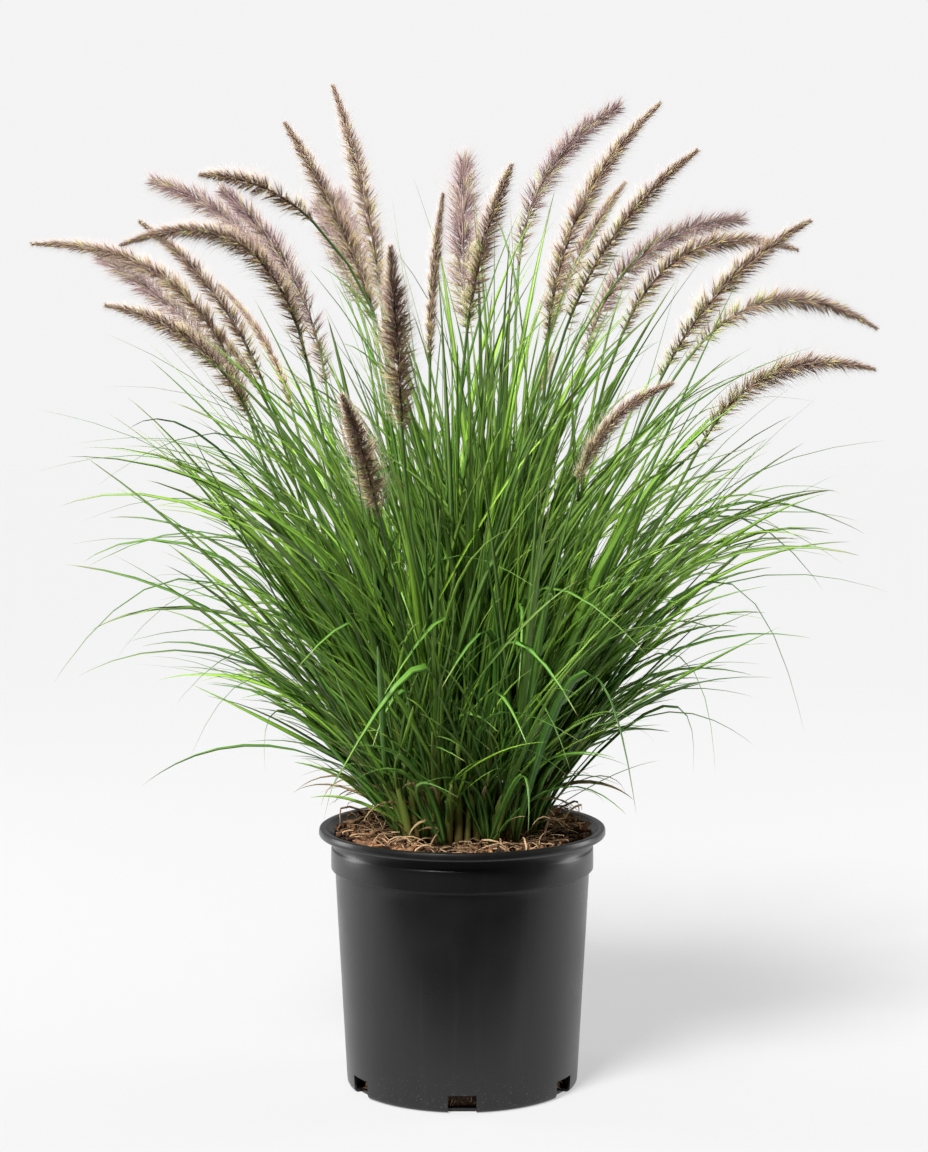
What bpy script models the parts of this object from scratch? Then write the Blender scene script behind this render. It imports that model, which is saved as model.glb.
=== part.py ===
"""Potted fountain grass clump: a black nursery pot, its potting mix, leafy shoots and flower stems.

Metres, +Z up. The origin is the middle of the pot's flat foot, and +Y is the back of the plant.
"""
import math

import bmesh
import bpy
import numpy as np
from mathutils import Matrix, Vector

# Nursery pot: a thin blow-moulded tub, 280 mm across its rolled rim
POT_HEIGHT = 0.254
RIM_RADIUS = 0.140
RIM_INNER_RADIUS = 0.1322
LIP_DEPTH = 0.0085
NECK_RADIUS = 0.1268
NECK_DEPTH = 0.010
BAND_RADIUS = 0.1282
BAND_DEPTH = 0.023
BODY_TOP_RADIUS = 0.1246
FOOT_RADIUS = 0.1132
FOOT_ROUNDING = 0.0035
LEDGE_DROP = 0.0010
BAND_EASE = 0.0015
LIP_TAPER = 0.0012
WALL = 0.0022
FLOOR = 0.0030
POT_SIDES = 48

# Drain windows, square-cornered and open at the foot
DRAIN_COUNT = 6
DRAIN_WIDTH = 0.0270
DRAIN_HEIGHT = 0.0175
DRAIN_DEPTH = 0.0080
CUTTER_OVERHANG = 0.010

# Potting mix with bark mulch on top
GAP = 0.0003
MIX_SIDES = 24
MIX_EDGE_HEIGHT = 0.2400
CROWN_HEIGHT = 0.2440
CROWN_RADIUS = 0.0860
MULCH_STEP = 0.002
MULCH_LUMP = 0.0028
# The root ball is drawn in behind the drain windows
ROOT_BALL_BEVEL = 0.0100
SHOULDER_BEVEL = 0.0070
SHOULDER_RISE = 0.001
BEVEL_RISE = 0.004

# The clump's crown: where shoots and flower stems come out of the mix
ROOT_SPREAD = 0.0780
GOLDEN_ANGLE = math.radians(137.508)
ROOT_CHOICE = 14

# Flower stems: a thin culm and a bottle-brush plume, one grown piece
CULM_RADIUS = 0.0017
CULM_PIECES = 3
# How far a culm leans as it leaves the crown, and where its curve is held, as shares of its rise
CULM_LEAN = 0.35
CULM_LOWER_HOLD = 0.40
CULM_UPPER_HOLD = 0.35
PLUME_RADIUS = 0.0112
STEM_SIDES = 5
POINT_RADIUS = 0.001
# Distance along the plume and width, from its foot to just below its pointed tip
PLUME_RINGS = [(0.03, 0.42), (0.13, 0.92), (0.25, 0.74), (0.38, 1.00), (0.51, 0.72), (0.64, 0.86),
               (0.77, 0.52), (0.90, 0.40)]

# Each flower stem: the plume's foot, its middle and its tip (x, y, z), and how full the plume is
FLOWER_STEMS = [
    ((-0.210, 0.010, 0.665), (-0.283, 0.015, 0.782), (-0.416, 0.020, 0.819), 1.00),
    ((-0.198, -0.071, 0.654), (-0.249, -0.096, 0.724), (-0.326, -0.120, 0.757), 0.95),
    ((-0.143, -0.091, 0.703), (-0.197, -0.145, 0.809), (-0.300, -0.200, 0.808), 1.00),
    ((-0.166, 0.147, 0.737), (-0.223, 0.214, 0.835), (-0.330, 0.280, 0.896), 1.05),
    ((-0.190, -0.031, 0.688), (-0.236, -0.041, 0.772), (-0.303, -0.050, 0.837), 0.85),
    ((-0.171, 0.098, 0.659), (-0.200, 0.119, 0.726), (-0.247, 0.140, 0.783), 0.60),
    ((-0.137, -0.091, 0.834), (-0.182, -0.126, 0.864), (-0.234, -0.160, 0.872), 0.90),
    ((-0.135, 0.068, 0.683), (-0.169, 0.094, 0.789), (-0.240, 0.120, 0.876), 1.00),
    ((-0.081, -0.029, 0.742), (-0.117, -0.044, 0.838), (-0.165, -0.060, 0.927), 1.00),
    ((-0.078, 0.031, 0.756), (-0.095, 0.041, 0.866), (-0.126, 0.050, 0.973), 0.95),
    ((-0.108, 0.160, 0.768), (-0.129, 0.200, 0.819), (-0.152, 0.240, 0.869), 1.00),
    ((-0.053, -0.190, 0.646), (-0.056, -0.245, 0.726), (-0.060, -0.300, 0.802), 1.10),
    ((-0.030, -0.080, 0.707), (-0.026, -0.105, 0.783), (-0.017, -0.130, 0.858), 0.70),
    ((0.005, 0.180, 0.733), (0.001, 0.250, 0.824), (0.002, 0.320, 0.920), 1.15),
    ((0.005, -0.100, 0.737), (0.020, -0.135, 0.812), (0.044, -0.170, 0.880), 1.00),
    ((0.056, 0.100, 0.797), (0.086, 0.150, 0.894), (0.161, 0.200, 0.967), 1.00),
    ((0.081, -0.026, 0.725), (0.111, -0.043, 0.847), (0.184, -0.060, 0.945), 1.00),
    ((0.096, -0.078, 0.735), (0.141, -0.129, 0.824), (0.208, -0.180, 0.892), 0.95),
    ((0.088, 0.044, 0.741), (0.118, 0.062, 0.815), (0.161, 0.080, 0.882), 0.80),
    ((0.126, 0.134, 0.711), (0.183, 0.217, 0.811), (0.298, 0.300, 0.857), 1.15),
    ((0.151, -0.038, 0.731), (0.214, -0.059, 0.808), (0.311, -0.080, 0.809), 1.00),
    ((0.184, -0.097, 0.691), (0.236, -0.134, 0.772), (0.310, -0.170, 0.831), 1.00),
    ((0.219, 0.043, 0.706), (0.306, 0.062, 0.765), (0.412, 0.080, 0.738), 1.00),
    ((0.222, -0.069, 0.625), (0.286, -0.094, 0.694), (0.377, -0.120, 0.699), 1.00),
    ((0.103, -0.190, 0.597), (0.130, -0.245, 0.654), (0.177, -0.300, 0.688), 0.85),
    ((-0.073, -0.230, 0.573), (-0.084, -0.295, 0.629), (-0.098, -0.360, 0.679), 0.95),
    ((-0.196, 0.039, 0.673), (-0.222, 0.044, 0.713), (-0.252, 0.050, 0.749), 0.55),
    ((0.081, 0.200, 0.674), (0.088, 0.235, 0.694), (0.097, 0.270, 0.714), 0.55),
    ((-0.220, 0.121, 0.672), (-0.287, 0.160, 0.751), (-0.374, 0.200, 0.812), 1.10),
    ((-0.097, 0.220, 0.770), (-0.113, 0.280, 0.827), (-0.136, 0.340, 0.885), 1.10),
]

# Leafy shoots: azimuth in degrees (0 is +X, -90 the front), reach and height of the
# longest leaf's tip, and how far that tip points below the horizontal, in degrees
LEAF_SHOOTS = [
    (-115, 0.10, 0.86, -75),
    (-35, 0.12, 0.84, -72),
    (80, 0.11, 0.86, -75),
    (20, 0.17, 0.82, -65),
    (172, 0.18, 0.80, -62),
    (-95, 0.19, 0.76, -60),
    (-178, 0.40, 0.665, 0),
    (-158, 0.36, 0.60, 10),
    (-128, 0.33, 0.57, 15),
    (-75, 0.31, 0.58, 15),
    (-48, 0.33, 0.57, 15),
    (-22, 0.37, 0.56, 15),
    (4, 0.415, 0.635, 5),
    (38, 0.36, 0.60, 15),
    (66, 0.34, 0.58, 15),
    (98, 0.34, 0.60, 10),
    (128, 0.36, 0.58, 15),
    (158, 0.38, 0.55, 20),
    (-170, 0.40, 0.385, 60),
    (-140, 0.34, 0.34, 70),
    (-108, 0.33, 0.36, 65),
    (-62, 0.33, 0.35, 65),
    (-12, 0.34, 0.335, 75),
    (18, 0.39, 0.43, 50),
    (55, 0.35, 0.36, 65),
    (90, 0.34, 0.34, 70),
    (138, 0.36, 0.36, 65),
]
SHOOT_WIDTH = 0.0062
SHOOT_KEEL = 0.75
LEAF_WIDTH = 0.0080
KEEL_DEPTH = 0.34
LEAF_POINT_RADIUS = 0.0005
# A shoot's own lean, upright and for each metre of its reach
LEAN_LEAST = 0.10
LEAN_FOR_REACH = 0.9
# Where a leaf's curve is held at its foot and at its tip, as shares of its length
LEAF_LOWER_HOLD = 0.42
LEAF_UPPER_HOLD = 0.38
FIRST_NODE_HEIGHT = 0.060
NODE_STAGGER = 0.010
NODE_SPACING = 0.022
SIDE_LEAVES = 4
# How far each side leaf reaches, compared with the longest one, and how far it turns aside
SIDE_LEAF_REACH = [0.78, 0.86, 0.91, 0.96]
SIDE_LEAF_TURN = [17.0, -15.0, 9.0, -8.0]
# A side leaf leaves its shoot sideways and a little to the keel side
SIDE_LEAF_OUT = 0.40
SIDE_LEAF_BACK = 0.24
# The lowest side leaf would end at this share of the longest one's height
SIDE_LEAF_HEIGHT = 0.6
UPRIGHT_REACH = 0.33
MOST_SPREAD = 3.0
STEEPEST_FALL = math.radians(45)
# Distance along a leaf and width at each cross-section, before its pointed tip
LEAF_RINGS = [(0.12, 0.85), (0.34, 1.00), (0.58, 0.80), (0.80, 0.48)]
# A leaf that would touch another leans aside or lifts, in these steps, until it is clear
TURN_STEP = 2.0
TURN_STEPS = 8
LIFTS = (0.0, 0.03, -0.03, 0.06)
CLEARANCE = 0.0008
# The stalk is tested at this many places, this far apart along its curve
STALK_TESTS = 8
STALK_TEST_STEP = 0.03
LENGTH_STEPS = 20

# Colours (linear) and roughness
POT_COLOUR = (0.012, 0.012, 0.013, 1.0)
MIX_COLOUR = (0.120, 0.070, 0.038, 1.0)
LEAF_COLOUR = (0.075, 0.200, 0.030, 1.0)
PLUME_COLOUR = (0.230, 0.150, 0.115, 1.0)


def clear_scene():
    for old in list(bpy.data.objects):
        bpy.data.objects.remove(old, do_unlink=True)


def make_material(name, colour, roughness):
    material = bpy.data.materials.new(name)
    material.use_nodes = True
    shader = material.node_tree.nodes["Principled BSDF"]
    shader.inputs["Base Color"].default_value = colour
    shader.inputs["Roughness"].default_value = roughness
    shader.inputs["Metallic"].default_value = 0.0
    return material


def add_object(name, bm, material, smooth_angle=None):
    bmesh.ops.recalc_face_normals(bm, faces=bm.faces)
    mesh = bpy.data.meshes.new(name)
    bm.to_mesh(mesh)
    bm.free()
    mesh.materials.append(material)
    if smooth_angle is not None:
        mesh.shade_smooth()
        mesh.set_sharp_from_angle(angle=smooth_angle)
    obj = bpy.data.objects.new(name, mesh)
    bpy.context.scene.collection.objects.link(obj)
    return obj


def turned_body(bm, profile, sides):
    """Turn an open profile of (radius, height) points and close it with a flat face at each end."""
    rings = []
    for radius, height in profile:
        ring = []
        for side in range(sides):
            angle = math.tau * side / sides
            ring.append(bm.verts.new((radius * math.cos(angle), radius * math.sin(angle), height)))
        rings.append(ring)
    for lower, upper in zip(rings, rings[1:]):
        for side in range(sides):
            after = (side + 1) % sides
            bm.faces.new((lower[side], lower[after], upper[after], upper[side]))
    bm.faces.new(rings[0])
    bm.faces.new(rings[-1])
    return rings


def body_radius(height):
    """Outer radius of the tapering body wall at a height above the foot."""
    top = POT_HEIGHT - LIP_DEPTH - NECK_DEPTH - BAND_DEPTH
    return FOOT_RADIUS + (BODY_TOP_RADIUS - FOOT_RADIUS) * height / top


def add_pot(material):
    lip_under = POT_HEIGHT - LIP_DEPTH
    neck_under = lip_under - NECK_DEPTH
    band_under = neck_under - BAND_DEPTH
    profile = [
        (FOOT_RADIUS - FOOT_ROUNDING, 0.0),
        (body_radius(FOOT_ROUNDING), FOOT_ROUNDING),
        (BODY_TOP_RADIUS, band_under),
        (BAND_RADIUS, band_under + BAND_EASE),
        (BAND_RADIUS, neck_under - LEDGE_DROP),
        (NECK_RADIUS, neck_under),
        (NECK_RADIUS, lip_under),
        (RIM_RADIUS, lip_under + LEDGE_DROP),
        (RIM_RADIUS - LIP_TAPER, POT_HEIGHT),
        (RIM_INNER_RADIUS, POT_HEIGHT - LEDGE_DROP),
        (NECK_RADIUS - WALL, lip_under + BAND_EASE),
        (BODY_TOP_RADIUS - WALL, band_under),
        (FOOT_RADIUS - WALL, FLOOR),
    ]
    bm = bmesh.new()
    turned_body(bm, profile, POT_SIDES)
    pot = add_object("nursery_pot", bm, material, math.radians(35))

    cutter_bm = bmesh.new()
    outside = FOOT_RADIUS + CUTTER_OVERHANG
    inside = FOOT_RADIUS - DRAIN_DEPTH
    for window in range(DRAIN_COUNT):
        angle = math.radians(-90.0) + math.tau * window / DRAIN_COUNT
        size = Matrix.Diagonal((outside - inside, DRAIN_WIDTH, DRAIN_HEIGHT + CUTTER_OVERHANG, 1.0))
        place = Matrix.Rotation(angle, 4, "Z") @ Matrix.Translation(
            ((outside + inside) / 2, 0.0, (DRAIN_HEIGHT - CUTTER_OVERHANG) / 2))
        bmesh.ops.create_cube(cutter_bm, size=1.0, matrix=place @ size)
    cutter = add_object("drain_cutter", cutter_bm, material)
    cutter.hide_render = True
    cutter.display_type = "WIRE"
    windows = pot.modifiers.new("drain_windows", "BOOLEAN")
    windows.operation = "DIFFERENCE"
    windows.solver = "EXACT"
    windows.object = cutter


def add_mix(material):
    """The root ball fills the pot; its top is uneven bark mulch round the flat crown."""
    inner_top = POT_HEIGHT - LIP_DEPTH + BAND_EASE
    band_under = POT_HEIGHT - LIP_DEPTH - NECK_DEPTH - BAND_DEPTH
    wall_side = math.cos(math.pi / POT_SIDES)

    def wall_radius(height):
        """How far out the mix may stand at a height, just inside the pot's flat-sided wall."""
        if height < band_under:
            part = (height - FLOOR) / (band_under - FLOOR)
            radius = FOOT_RADIUS + (BODY_TOP_RADIUS - FOOT_RADIUS) * part
        else:
            part = (height - band_under) / (inner_top - band_under)
            radius = BODY_TOP_RADIUS + (NECK_RADIUS - BODY_TOP_RADIUS) * part
        return (radius - WALL) * wall_side - GAP

    bevel_top = DRAIN_HEIGHT + BEVEL_RISE
    profile = [
        (wall_radius(FLOOR) - ROOT_BALL_BEVEL, FLOOR + GAP),
        (wall_radius(DRAIN_HEIGHT) - SHOULDER_BEVEL, DRAIN_HEIGHT + SHOULDER_RISE),
        (wall_radius(bevel_top), bevel_top),
        (wall_radius(band_under) - GAP, band_under),
        (wall_radius(MIX_EDGE_HEIGHT) - GAP, MIX_EDGE_HEIGHT),
        ((wall_radius(MIX_EDGE_HEIGHT) + CROWN_RADIUS) / 2, MIX_EDGE_HEIGHT + MULCH_STEP),
        (CROWN_RADIUS, CROWN_HEIGHT),
    ]
    bm = bmesh.new()
    rings = turned_body(bm, profile, MIX_SIDES)
    for ring_index in (4, 5):
        for side, vert in enumerate(rings[ring_index]):
            # Two waves out of step make the chips' lumps uneven
            lump = math.sin(side * 2.4 + ring_index) + 0.7 * math.sin(side * 5.3 + 2.0 * ring_index)
            vert.co.z += MULCH_LUMP * (0.5 + 0.4 * lump)
    add_object("potting_mix", bm, material)


def crown_places(count):
    """Sunflower-seed places, evenly spread over the crown."""
    places = []
    for index in range(count):
        radius = ROOT_SPREAD * math.sqrt((index + 0.5) / count)
        angle = index * GOLDEN_ANGLE
        places.append(Vector((radius * math.cos(angle), radius * math.sin(angle), 0.0)))
    return places


def plan_roots(grown):
    """Give each grown piece its place in the crown: what leans furthest stands outermost."""
    places = crown_places(len(grown))
    roots = {}
    for name, direction, lean in sorted(grown, key=lambda piece: -piece[2]):
        outermost = places[-ROOT_CHOICE:]
        chosen = min(outermost, key=lambda place: (place.normalized() - direction).length)
        places.remove(chosen)
        roots[name] = chosen + Vector((0.0, 0.0, CROWN_HEIGHT + GAP))
    return roots


def flat_direction(vector):
    return Vector((vector.x, vector.y, 0.0)).normalized()


def bezier(controls, t):
    points = [point.copy() for point in controls]
    while len(points) > 1:
        points = [a.lerp(b, t) for a, b in zip(points, points[1:])]
    return points[0]


def section_axes(tangent, side_hint):
    """Side and upper directions of a cross-section, square to its path."""
    side = (side_hint - tangent * side_hint.dot(tangent)).normalized()
    return side, tangent.cross(side)


def nudges():
    """Turns in degrees and lifts in metres to try, the smallest turns first."""
    for step in range(2 * TURN_STEPS + 1):
        turn = TURN_STEP * ((step + 1) // 2) * (1 if step % 2 else -1)
        for lift in LIFTS:
            yield turn, lift


class Clearance:
    """Keeps the centre lines and half-widths of what already stands, to test new ones against."""

    def __init__(self):
        self.starts = np.zeros((0, 3))
        self.ends = np.zeros((0, 3))
        self.radii = np.zeros(0)

    def add(self, path):
        points = np.array([point for point, _ in path])
        widths = np.array([radius for _, radius in path])
        self.starts = np.vstack((self.starts, points[:-1]))
        self.ends = np.vstack((self.ends, points[1:]))
        self.radii = np.append(self.radii, np.maximum(widths[:-1], widths[1:]))

    def room(self, path):
        """Smallest gap between a path and everything kept, negative where they would touch."""
        if len(self.radii) == 0:
            return 1.0
        least = 1.0
        for (start, start_radius), (end, end_radius) in zip(path, path[1:]):
            gaps = segment_distances(np.array(start), np.array(end), self.starts, self.ends)
            least = min(least, float(np.min(gaps - self.radii)) - max(start_radius, end_radius))
        return least


def segment_distances(p, q, starts, ends):
    """Distances from the segment pq to many segments."""
    d1 = q - p
    d2 = ends - starts
    r = p - starts
    a = max(float(d1 @ d1), 1e-12)
    e = np.maximum(np.einsum("ij,ij->i", d2, d2), 1e-12)
    f = np.einsum("ij,ij->i", d2, r)
    c = r @ d1
    b = d2 @ d1
    denominator = a * e - b * b
    s = np.where(denominator > 1e-12, (b * f - c * e) / np.maximum(denominator, 1e-12), 0.0)
    s = np.clip(s, 0.0, 1.0)
    t = (b * s + f) / e
    t_held = np.clip(t, 0.0, 1.0)
    s = np.where(t != t_held, np.clip((b * t_held - c) / a, 0.0, 1.0), s)
    near_one = p + s[:, None] * d1
    near_two = starts + t_held[:, None] * d2
    return np.linalg.norm(near_one - near_two, axis=1)


def stem_path(root, foot, middle, tip):
    """Culm and plume points: the culm leaves the crown steeply and bends out into the plume."""
    bend = middle * 2.0 - (foot + tip) * 0.5
    rise = (foot - root).length
    lean = (flat_direction(foot) * CULM_LEAN + Vector((0.0, 0.0, 1.0))).normalized()
    last = (bend - foot).normalized()
    culm = (root, root + lean * rise * CULM_LOWER_HOLD, foot - last * rise * CULM_UPPER_HOLD, foot)
    culm_points = [bezier(culm, piece / CULM_PIECES) for piece in range(CULM_PIECES + 1)]
    plume = (foot, bend, tip)
    plume_points = [bezier(plume, along) for along, _ in PLUME_RINGS]
    return culm_points, plume_points


def add_flower_stem(name, row, root, standing, material):
    foot = Vector(row[0])
    middle = Vector(row[1])
    tip = Vector(row[2])
    fullness = row[3]
    culm_points, plume_points = stem_path(root, foot, middle, tip)
    rings = [(point, CULM_RADIUS) for point in culm_points]
    for point, (_, width) in zip(plume_points, PLUME_RINGS):
        rings.append((point, PLUME_RADIUS * fullness * width))

    standing.add([(tuple(point), radius) for point, radius in rings] + [(tuple(tip), POINT_RADIUS)])

    bm = bmesh.new()
    side_hint = Vector((0.0, 0.0, 1.0)).cross(flat_direction(tip - root)).normalized()
    points = [point for point, _ in rings] + [tip]
    loops = []
    for index, (point, radius) in enumerate(rings):
        before = points[max(index - 1, 0)]
        tangent = (points[index + 1] - before).normalized()
        if index == 0:
            tangent = Vector((0.0, 0.0, 1.0))
        side, upper = section_axes(tangent, side_hint)
        half_step = 0.5 * (index % 2) if index > CULM_PIECES else 0.0
        loop = []
        for corner in range(STEM_SIDES):
            angle = math.tau * (corner + half_step) / STEM_SIDES
            loop.append(bm.verts.new(point + (side * math.cos(angle) + upper * math.sin(angle)) * radius))
        loops.append(loop)
    for lower, upper_loop in zip(loops, loops[1:]):
        for corner in range(STEM_SIDES):
            after = (corner + 1) % STEM_SIDES
            bm.faces.new((lower[corner], lower[after], upper_loop[after], upper_loop[corner]))
    bm.faces.new(loops[0])
    top = bm.verts.new(tip)
    for corner in range(STEM_SIDES):
        bm.faces.new((loops[-1][corner], loops[-1][(corner + 1) % STEM_SIDES], top))
    add_object(name, bm, material)


def leaf_controls(start, first_direction, tip, tip_direction):
    length = (tip - start).length
    lower_hold = start + first_direction * length * LEAF_LOWER_HOLD
    upper_hold = tip - tip_direction * length * LEAF_UPPER_HOLD
    return (start, lower_hold, upper_hold, tip)


def leaf_path(controls, width):
    path = [(bezier(controls, along), width * part * 0.5) for along, part in LEAF_RINGS]
    path.append((controls[-1], LEAF_POINT_RADIUS))
    return path


def tip_place(azimuth, reach, height, below):
    outward = Vector((math.cos(azimuth), math.sin(azimuth), 0.0))
    direction = outward * math.cos(below) - Vector((0.0, 0.0, 1.0)) * math.sin(below)
    return outward * reach + Vector((0.0, 0.0, height)), direction


def extrude_leaf(bm, base, path, first_side, last_side):
    """Grow a keeled leaf from the triangle base: its left, right and keel corners."""
    previous = base
    points = [point for point, _ in path]
    for index, (point, half_width) in enumerate(path[:-1]):
        before = points[index - 1] if index else sum((vert.co for vert in base), Vector()) / 3
        tangent = (points[index + 1] - before).normalized()
        hint = first_side.lerp(last_side, (index + 1) / len(path))
        side, upper = section_axes(tangent, hint)
        ring = (
            bm.verts.new(point + side * half_width),
            bm.verts.new(point - side * half_width),
            bm.verts.new(point - upper * half_width * 2.0 * KEEL_DEPTH),
        )
        for corner in range(3):
            after = (corner + 1) % 3
            bm.faces.new((previous[corner], previous[after], ring[after], ring[corner]))
        previous = ring
    point = bm.verts.new(points[-1])
    for corner in range(3):
        bm.faces.new((previous[corner], previous[(corner + 1) % 3], point))


def add_leaf_shoot(name, row, index, root, standing, material):
    """A folded shoot with leaves set alternately on its left and right, and one at its top."""
    azimuth = math.radians(row[0])
    reach = row[1]
    height = row[2]
    below = math.radians(row[3])
    outward = Vector((math.cos(azimuth), math.sin(azimuth), 0.0))
    up = Vector((0.0, 0.0, 1.0))
    lean = (outward * (LEAN_LEAST + LEAN_FOR_REACH * reach) + up).normalized()

    def main_leaf(turn, lift):
        tip, tip_direction = tip_place(azimuth + turn, reach, height + lift, below)
        return leaf_controls(root, lean, tip, tip_direction)

    def whole_path(controls):
        stalk = [(bezier(controls, test * STALK_TEST_STEP), SHOOT_WIDTH * 0.5) for test in range(STALK_TESTS)]
        return stalk + leaf_path(controls, LEAF_WIDTH)[1:]

    best = None
    for turn, lift in nudges():
        controls = main_leaf(math.radians(turn), lift)
        room = standing.room([(tuple(p), r) for p, r in whole_path(controls)])
        if best is None or room > best[0]:
            best = (room, controls)
        if room > CLEARANCE:
            break
    controls = best[1]
    spots = [bezier(controls, step / LENGTH_STEPS) for step in range(LENGTH_STEPS + 1)]
    length = sum((after - before).length for before, after in zip(spots, spots[1:]))
    side = up.cross(outward)
    spread = min(MOST_SPREAD, UPRIGHT_REACH / reach)

    bm = bmesh.new()
    first_node = FIRST_NODE_HEIGHT + NODE_STAGGER * (index % 3)
    heights = [0.0] + [first_node + NODE_SPACING * node for node in range(SIDE_LEAVES + 1)]
    rings = []
    ring_axes = []
    stalk_path = []
    for distance in heights:
        along = distance / length
        point = bezier(controls, along)
        tangent = (bezier(controls, along + 0.02) - point).normalized()
        if distance == 0.0:
            tangent = up
        ring_side, upper = section_axes(tangent, side)
        ring_axes.append((tangent, ring_side, upper))
        half = SHOOT_WIDTH * 0.5
        rings.append((
            bm.verts.new(point + ring_side * half),
            bm.verts.new(point - ring_side * half),
            bm.verts.new(point - upper * half * 2.0 * SHOOT_KEEL),
        ))
        stalk_path.append((tuple(point), half))
    own_paths = [stalk_path]

    # The stalk's three long sides; a side leaf takes one triangle of its outer sides
    leaf_bases = []
    bm.faces.new(rings[0])
    for node, (lower, upper_ring) in enumerate(zip(rings, rings[1:])):
        for corner in range(3):
            after = (corner + 1) % 3
            leaf_corner = 2 if node % 2 else 1
            if node > 0 and corner == leaf_corner:
                bm.faces.new((lower[corner], lower[after], upper_ring[2]))
                if corner == 2:
                    leaf_bases.append((upper_ring[0], upper_ring[2], lower[0]))
                else:
                    leaf_bases.append((upper_ring[2], upper_ring[1], lower[1]))
            else:
                bm.faces.new((lower[corner], lower[after], upper_ring[after], upper_ring[corner]))

    # The leaf at the top carries the shoot on to its longest tip
    start_along = heights[-1] / length
    main_path = []
    for along, part in LEAF_RINGS:
        spot = start_along + (1.0 - start_along) * along
        main_path.append((bezier(controls, spot), LEAF_WIDTH * part * 0.5))
    main_path.append((controls[-1], LEAF_POINT_RADIUS))
    extrude_leaf(bm, rings[-1], main_path, side, side)
    whole_leaf = [(bezier(controls, start_along), SHOOT_WIDTH * 0.5)] + main_path
    own_paths.append([(tuple(point), radius) for point, radius in whole_leaf])

    own = Clearance()
    own.add(own_paths[1])
    for number, base in enumerate(leaf_bases):
        middle_edge = (base[0].co + base[1].co) * 0.5
        sign = 1.0 if number % 2 == 0 else -1.0
        tangent, ring_side, upper = ring_axes[number + 2]
        first_direction = (tangent + ring_side * sign * SIDE_LEAF_OUT - upper * SIDE_LEAF_BACK).normalized()
        edge = (base[0].co - base[1].co).normalized()
        share = SIDE_LEAF_REACH[number]
        best = None
        for turn, lift in nudges():
            leaf_azimuth = azimuth + math.radians(SIDE_LEAF_TURN[number] * spread + turn)
            rise = SIDE_LEAF_HEIGHT + (1.0 - SIDE_LEAF_HEIGHT) * share
            leaf_height = CROWN_HEIGHT + (height - CROWN_HEIGHT) * rise + lift
            leaf_reach = reach * share
            tip, tip_direction = tip_place(leaf_azimuth, leaf_reach, leaf_height, min(below, STEEPEST_FALL))
            path = leaf_path(leaf_controls(middle_edge, first_direction, tip, tip_direction), LEAF_WIDTH)
            tested = [(tuple(p), r) for p, r in path]
            room = min(standing.room(tested), own.room(tested))
            if best is None or room > best[0]:
                best = (room, path, leaf_azimuth)
            if room > CLEARANCE:
                break
        _, path, leaf_azimuth = best
        last_side = up.cross(Vector((math.cos(leaf_azimuth), math.sin(leaf_azimuth), 0.0)))
        # The blade turns the short way round from its foot to its tip
        if edge.dot(last_side) < 0.0:
            last_side = -last_side
        extrude_leaf(bm, base, path, edge, last_side)
        whole_leaf = [(middle_edge, SHOOT_WIDTH * 0.5)] + path
        own_paths.append([(tuple(point), radius) for point, radius in whole_leaf])
        own.add(own_paths[-1])
    for path in own_paths:
        standing.add(path)
    add_object(name, bm, material)


def build():
    clear_scene()
    pot_plastic = make_material("pot_plastic", POT_COLOUR, 0.38)
    potting_mix = make_material("potting_mix", MIX_COLOUR, 0.95)
    grass_leaf = make_material("grass_leaf", LEAF_COLOUR, 0.50)
    plume_bristle = make_material("plume_bristle", PLUME_COLOUR, 0.80)
    add_pot(pot_plastic)
    add_mix(potting_mix)

    grown = []
    for index, (foot, _, _, _) in enumerate(FLOWER_STEMS):
        reach = math.hypot(foot[0], foot[1])
        direction = flat_direction(Vector(foot))
        grown.append(("flower_stem_%02d" % (index + 1), direction, reach / (foot[2] - CROWN_HEIGHT)))
    for index, (azimuth, reach, height, _) in enumerate(LEAF_SHOOTS):
        angle = math.radians(azimuth)
        direction = Vector((math.cos(angle), math.sin(angle), 0.0))
        grown.append(("leaf_shoot_%02d" % (index + 1), direction, reach / (height - CROWN_HEIGHT)))
    roots = plan_roots(grown)

    standing = Clearance()
    for index, row in enumerate(FLOWER_STEMS):
        name = "flower_stem_%02d" % (index + 1)
        add_flower_stem(name, row, roots[name], standing, plume_bristle)
    for index, row in enumerate(LEAF_SHOOTS):
        name = "leaf_shoot_%02d" % (index + 1)
        add_leaf_shoot(name, row, index, roots[name], standing, grass_leaf)


build()
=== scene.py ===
"""A potted fountain grass clump in flower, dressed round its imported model. Metres, +Z up, the front is -Y."""

import math

import bmesh
import bpy
import numpy as np
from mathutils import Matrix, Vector


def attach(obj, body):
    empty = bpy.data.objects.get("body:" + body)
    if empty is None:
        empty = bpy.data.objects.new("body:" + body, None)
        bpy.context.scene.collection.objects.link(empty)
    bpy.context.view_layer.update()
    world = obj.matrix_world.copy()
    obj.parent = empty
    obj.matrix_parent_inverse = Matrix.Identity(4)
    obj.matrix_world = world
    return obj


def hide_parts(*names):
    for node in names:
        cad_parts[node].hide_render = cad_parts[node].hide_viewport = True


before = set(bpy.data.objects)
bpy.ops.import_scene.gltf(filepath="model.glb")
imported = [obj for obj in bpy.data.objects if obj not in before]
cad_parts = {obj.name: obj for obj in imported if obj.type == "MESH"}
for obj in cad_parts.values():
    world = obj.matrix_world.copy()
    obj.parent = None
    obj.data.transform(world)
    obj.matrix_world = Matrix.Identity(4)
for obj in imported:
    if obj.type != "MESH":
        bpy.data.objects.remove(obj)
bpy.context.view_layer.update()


# View, light and floor
# A studio sweep: white paper under and behind the plant, a high soft sun in front and a light on each side.
# None of it is part of the plant.
CAMERA_PLACE = (0.0017, -2.40, 0.712)
CAMERA_TILT = math.radians(84.92)
CAMERA_LENS = 77.66
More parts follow.
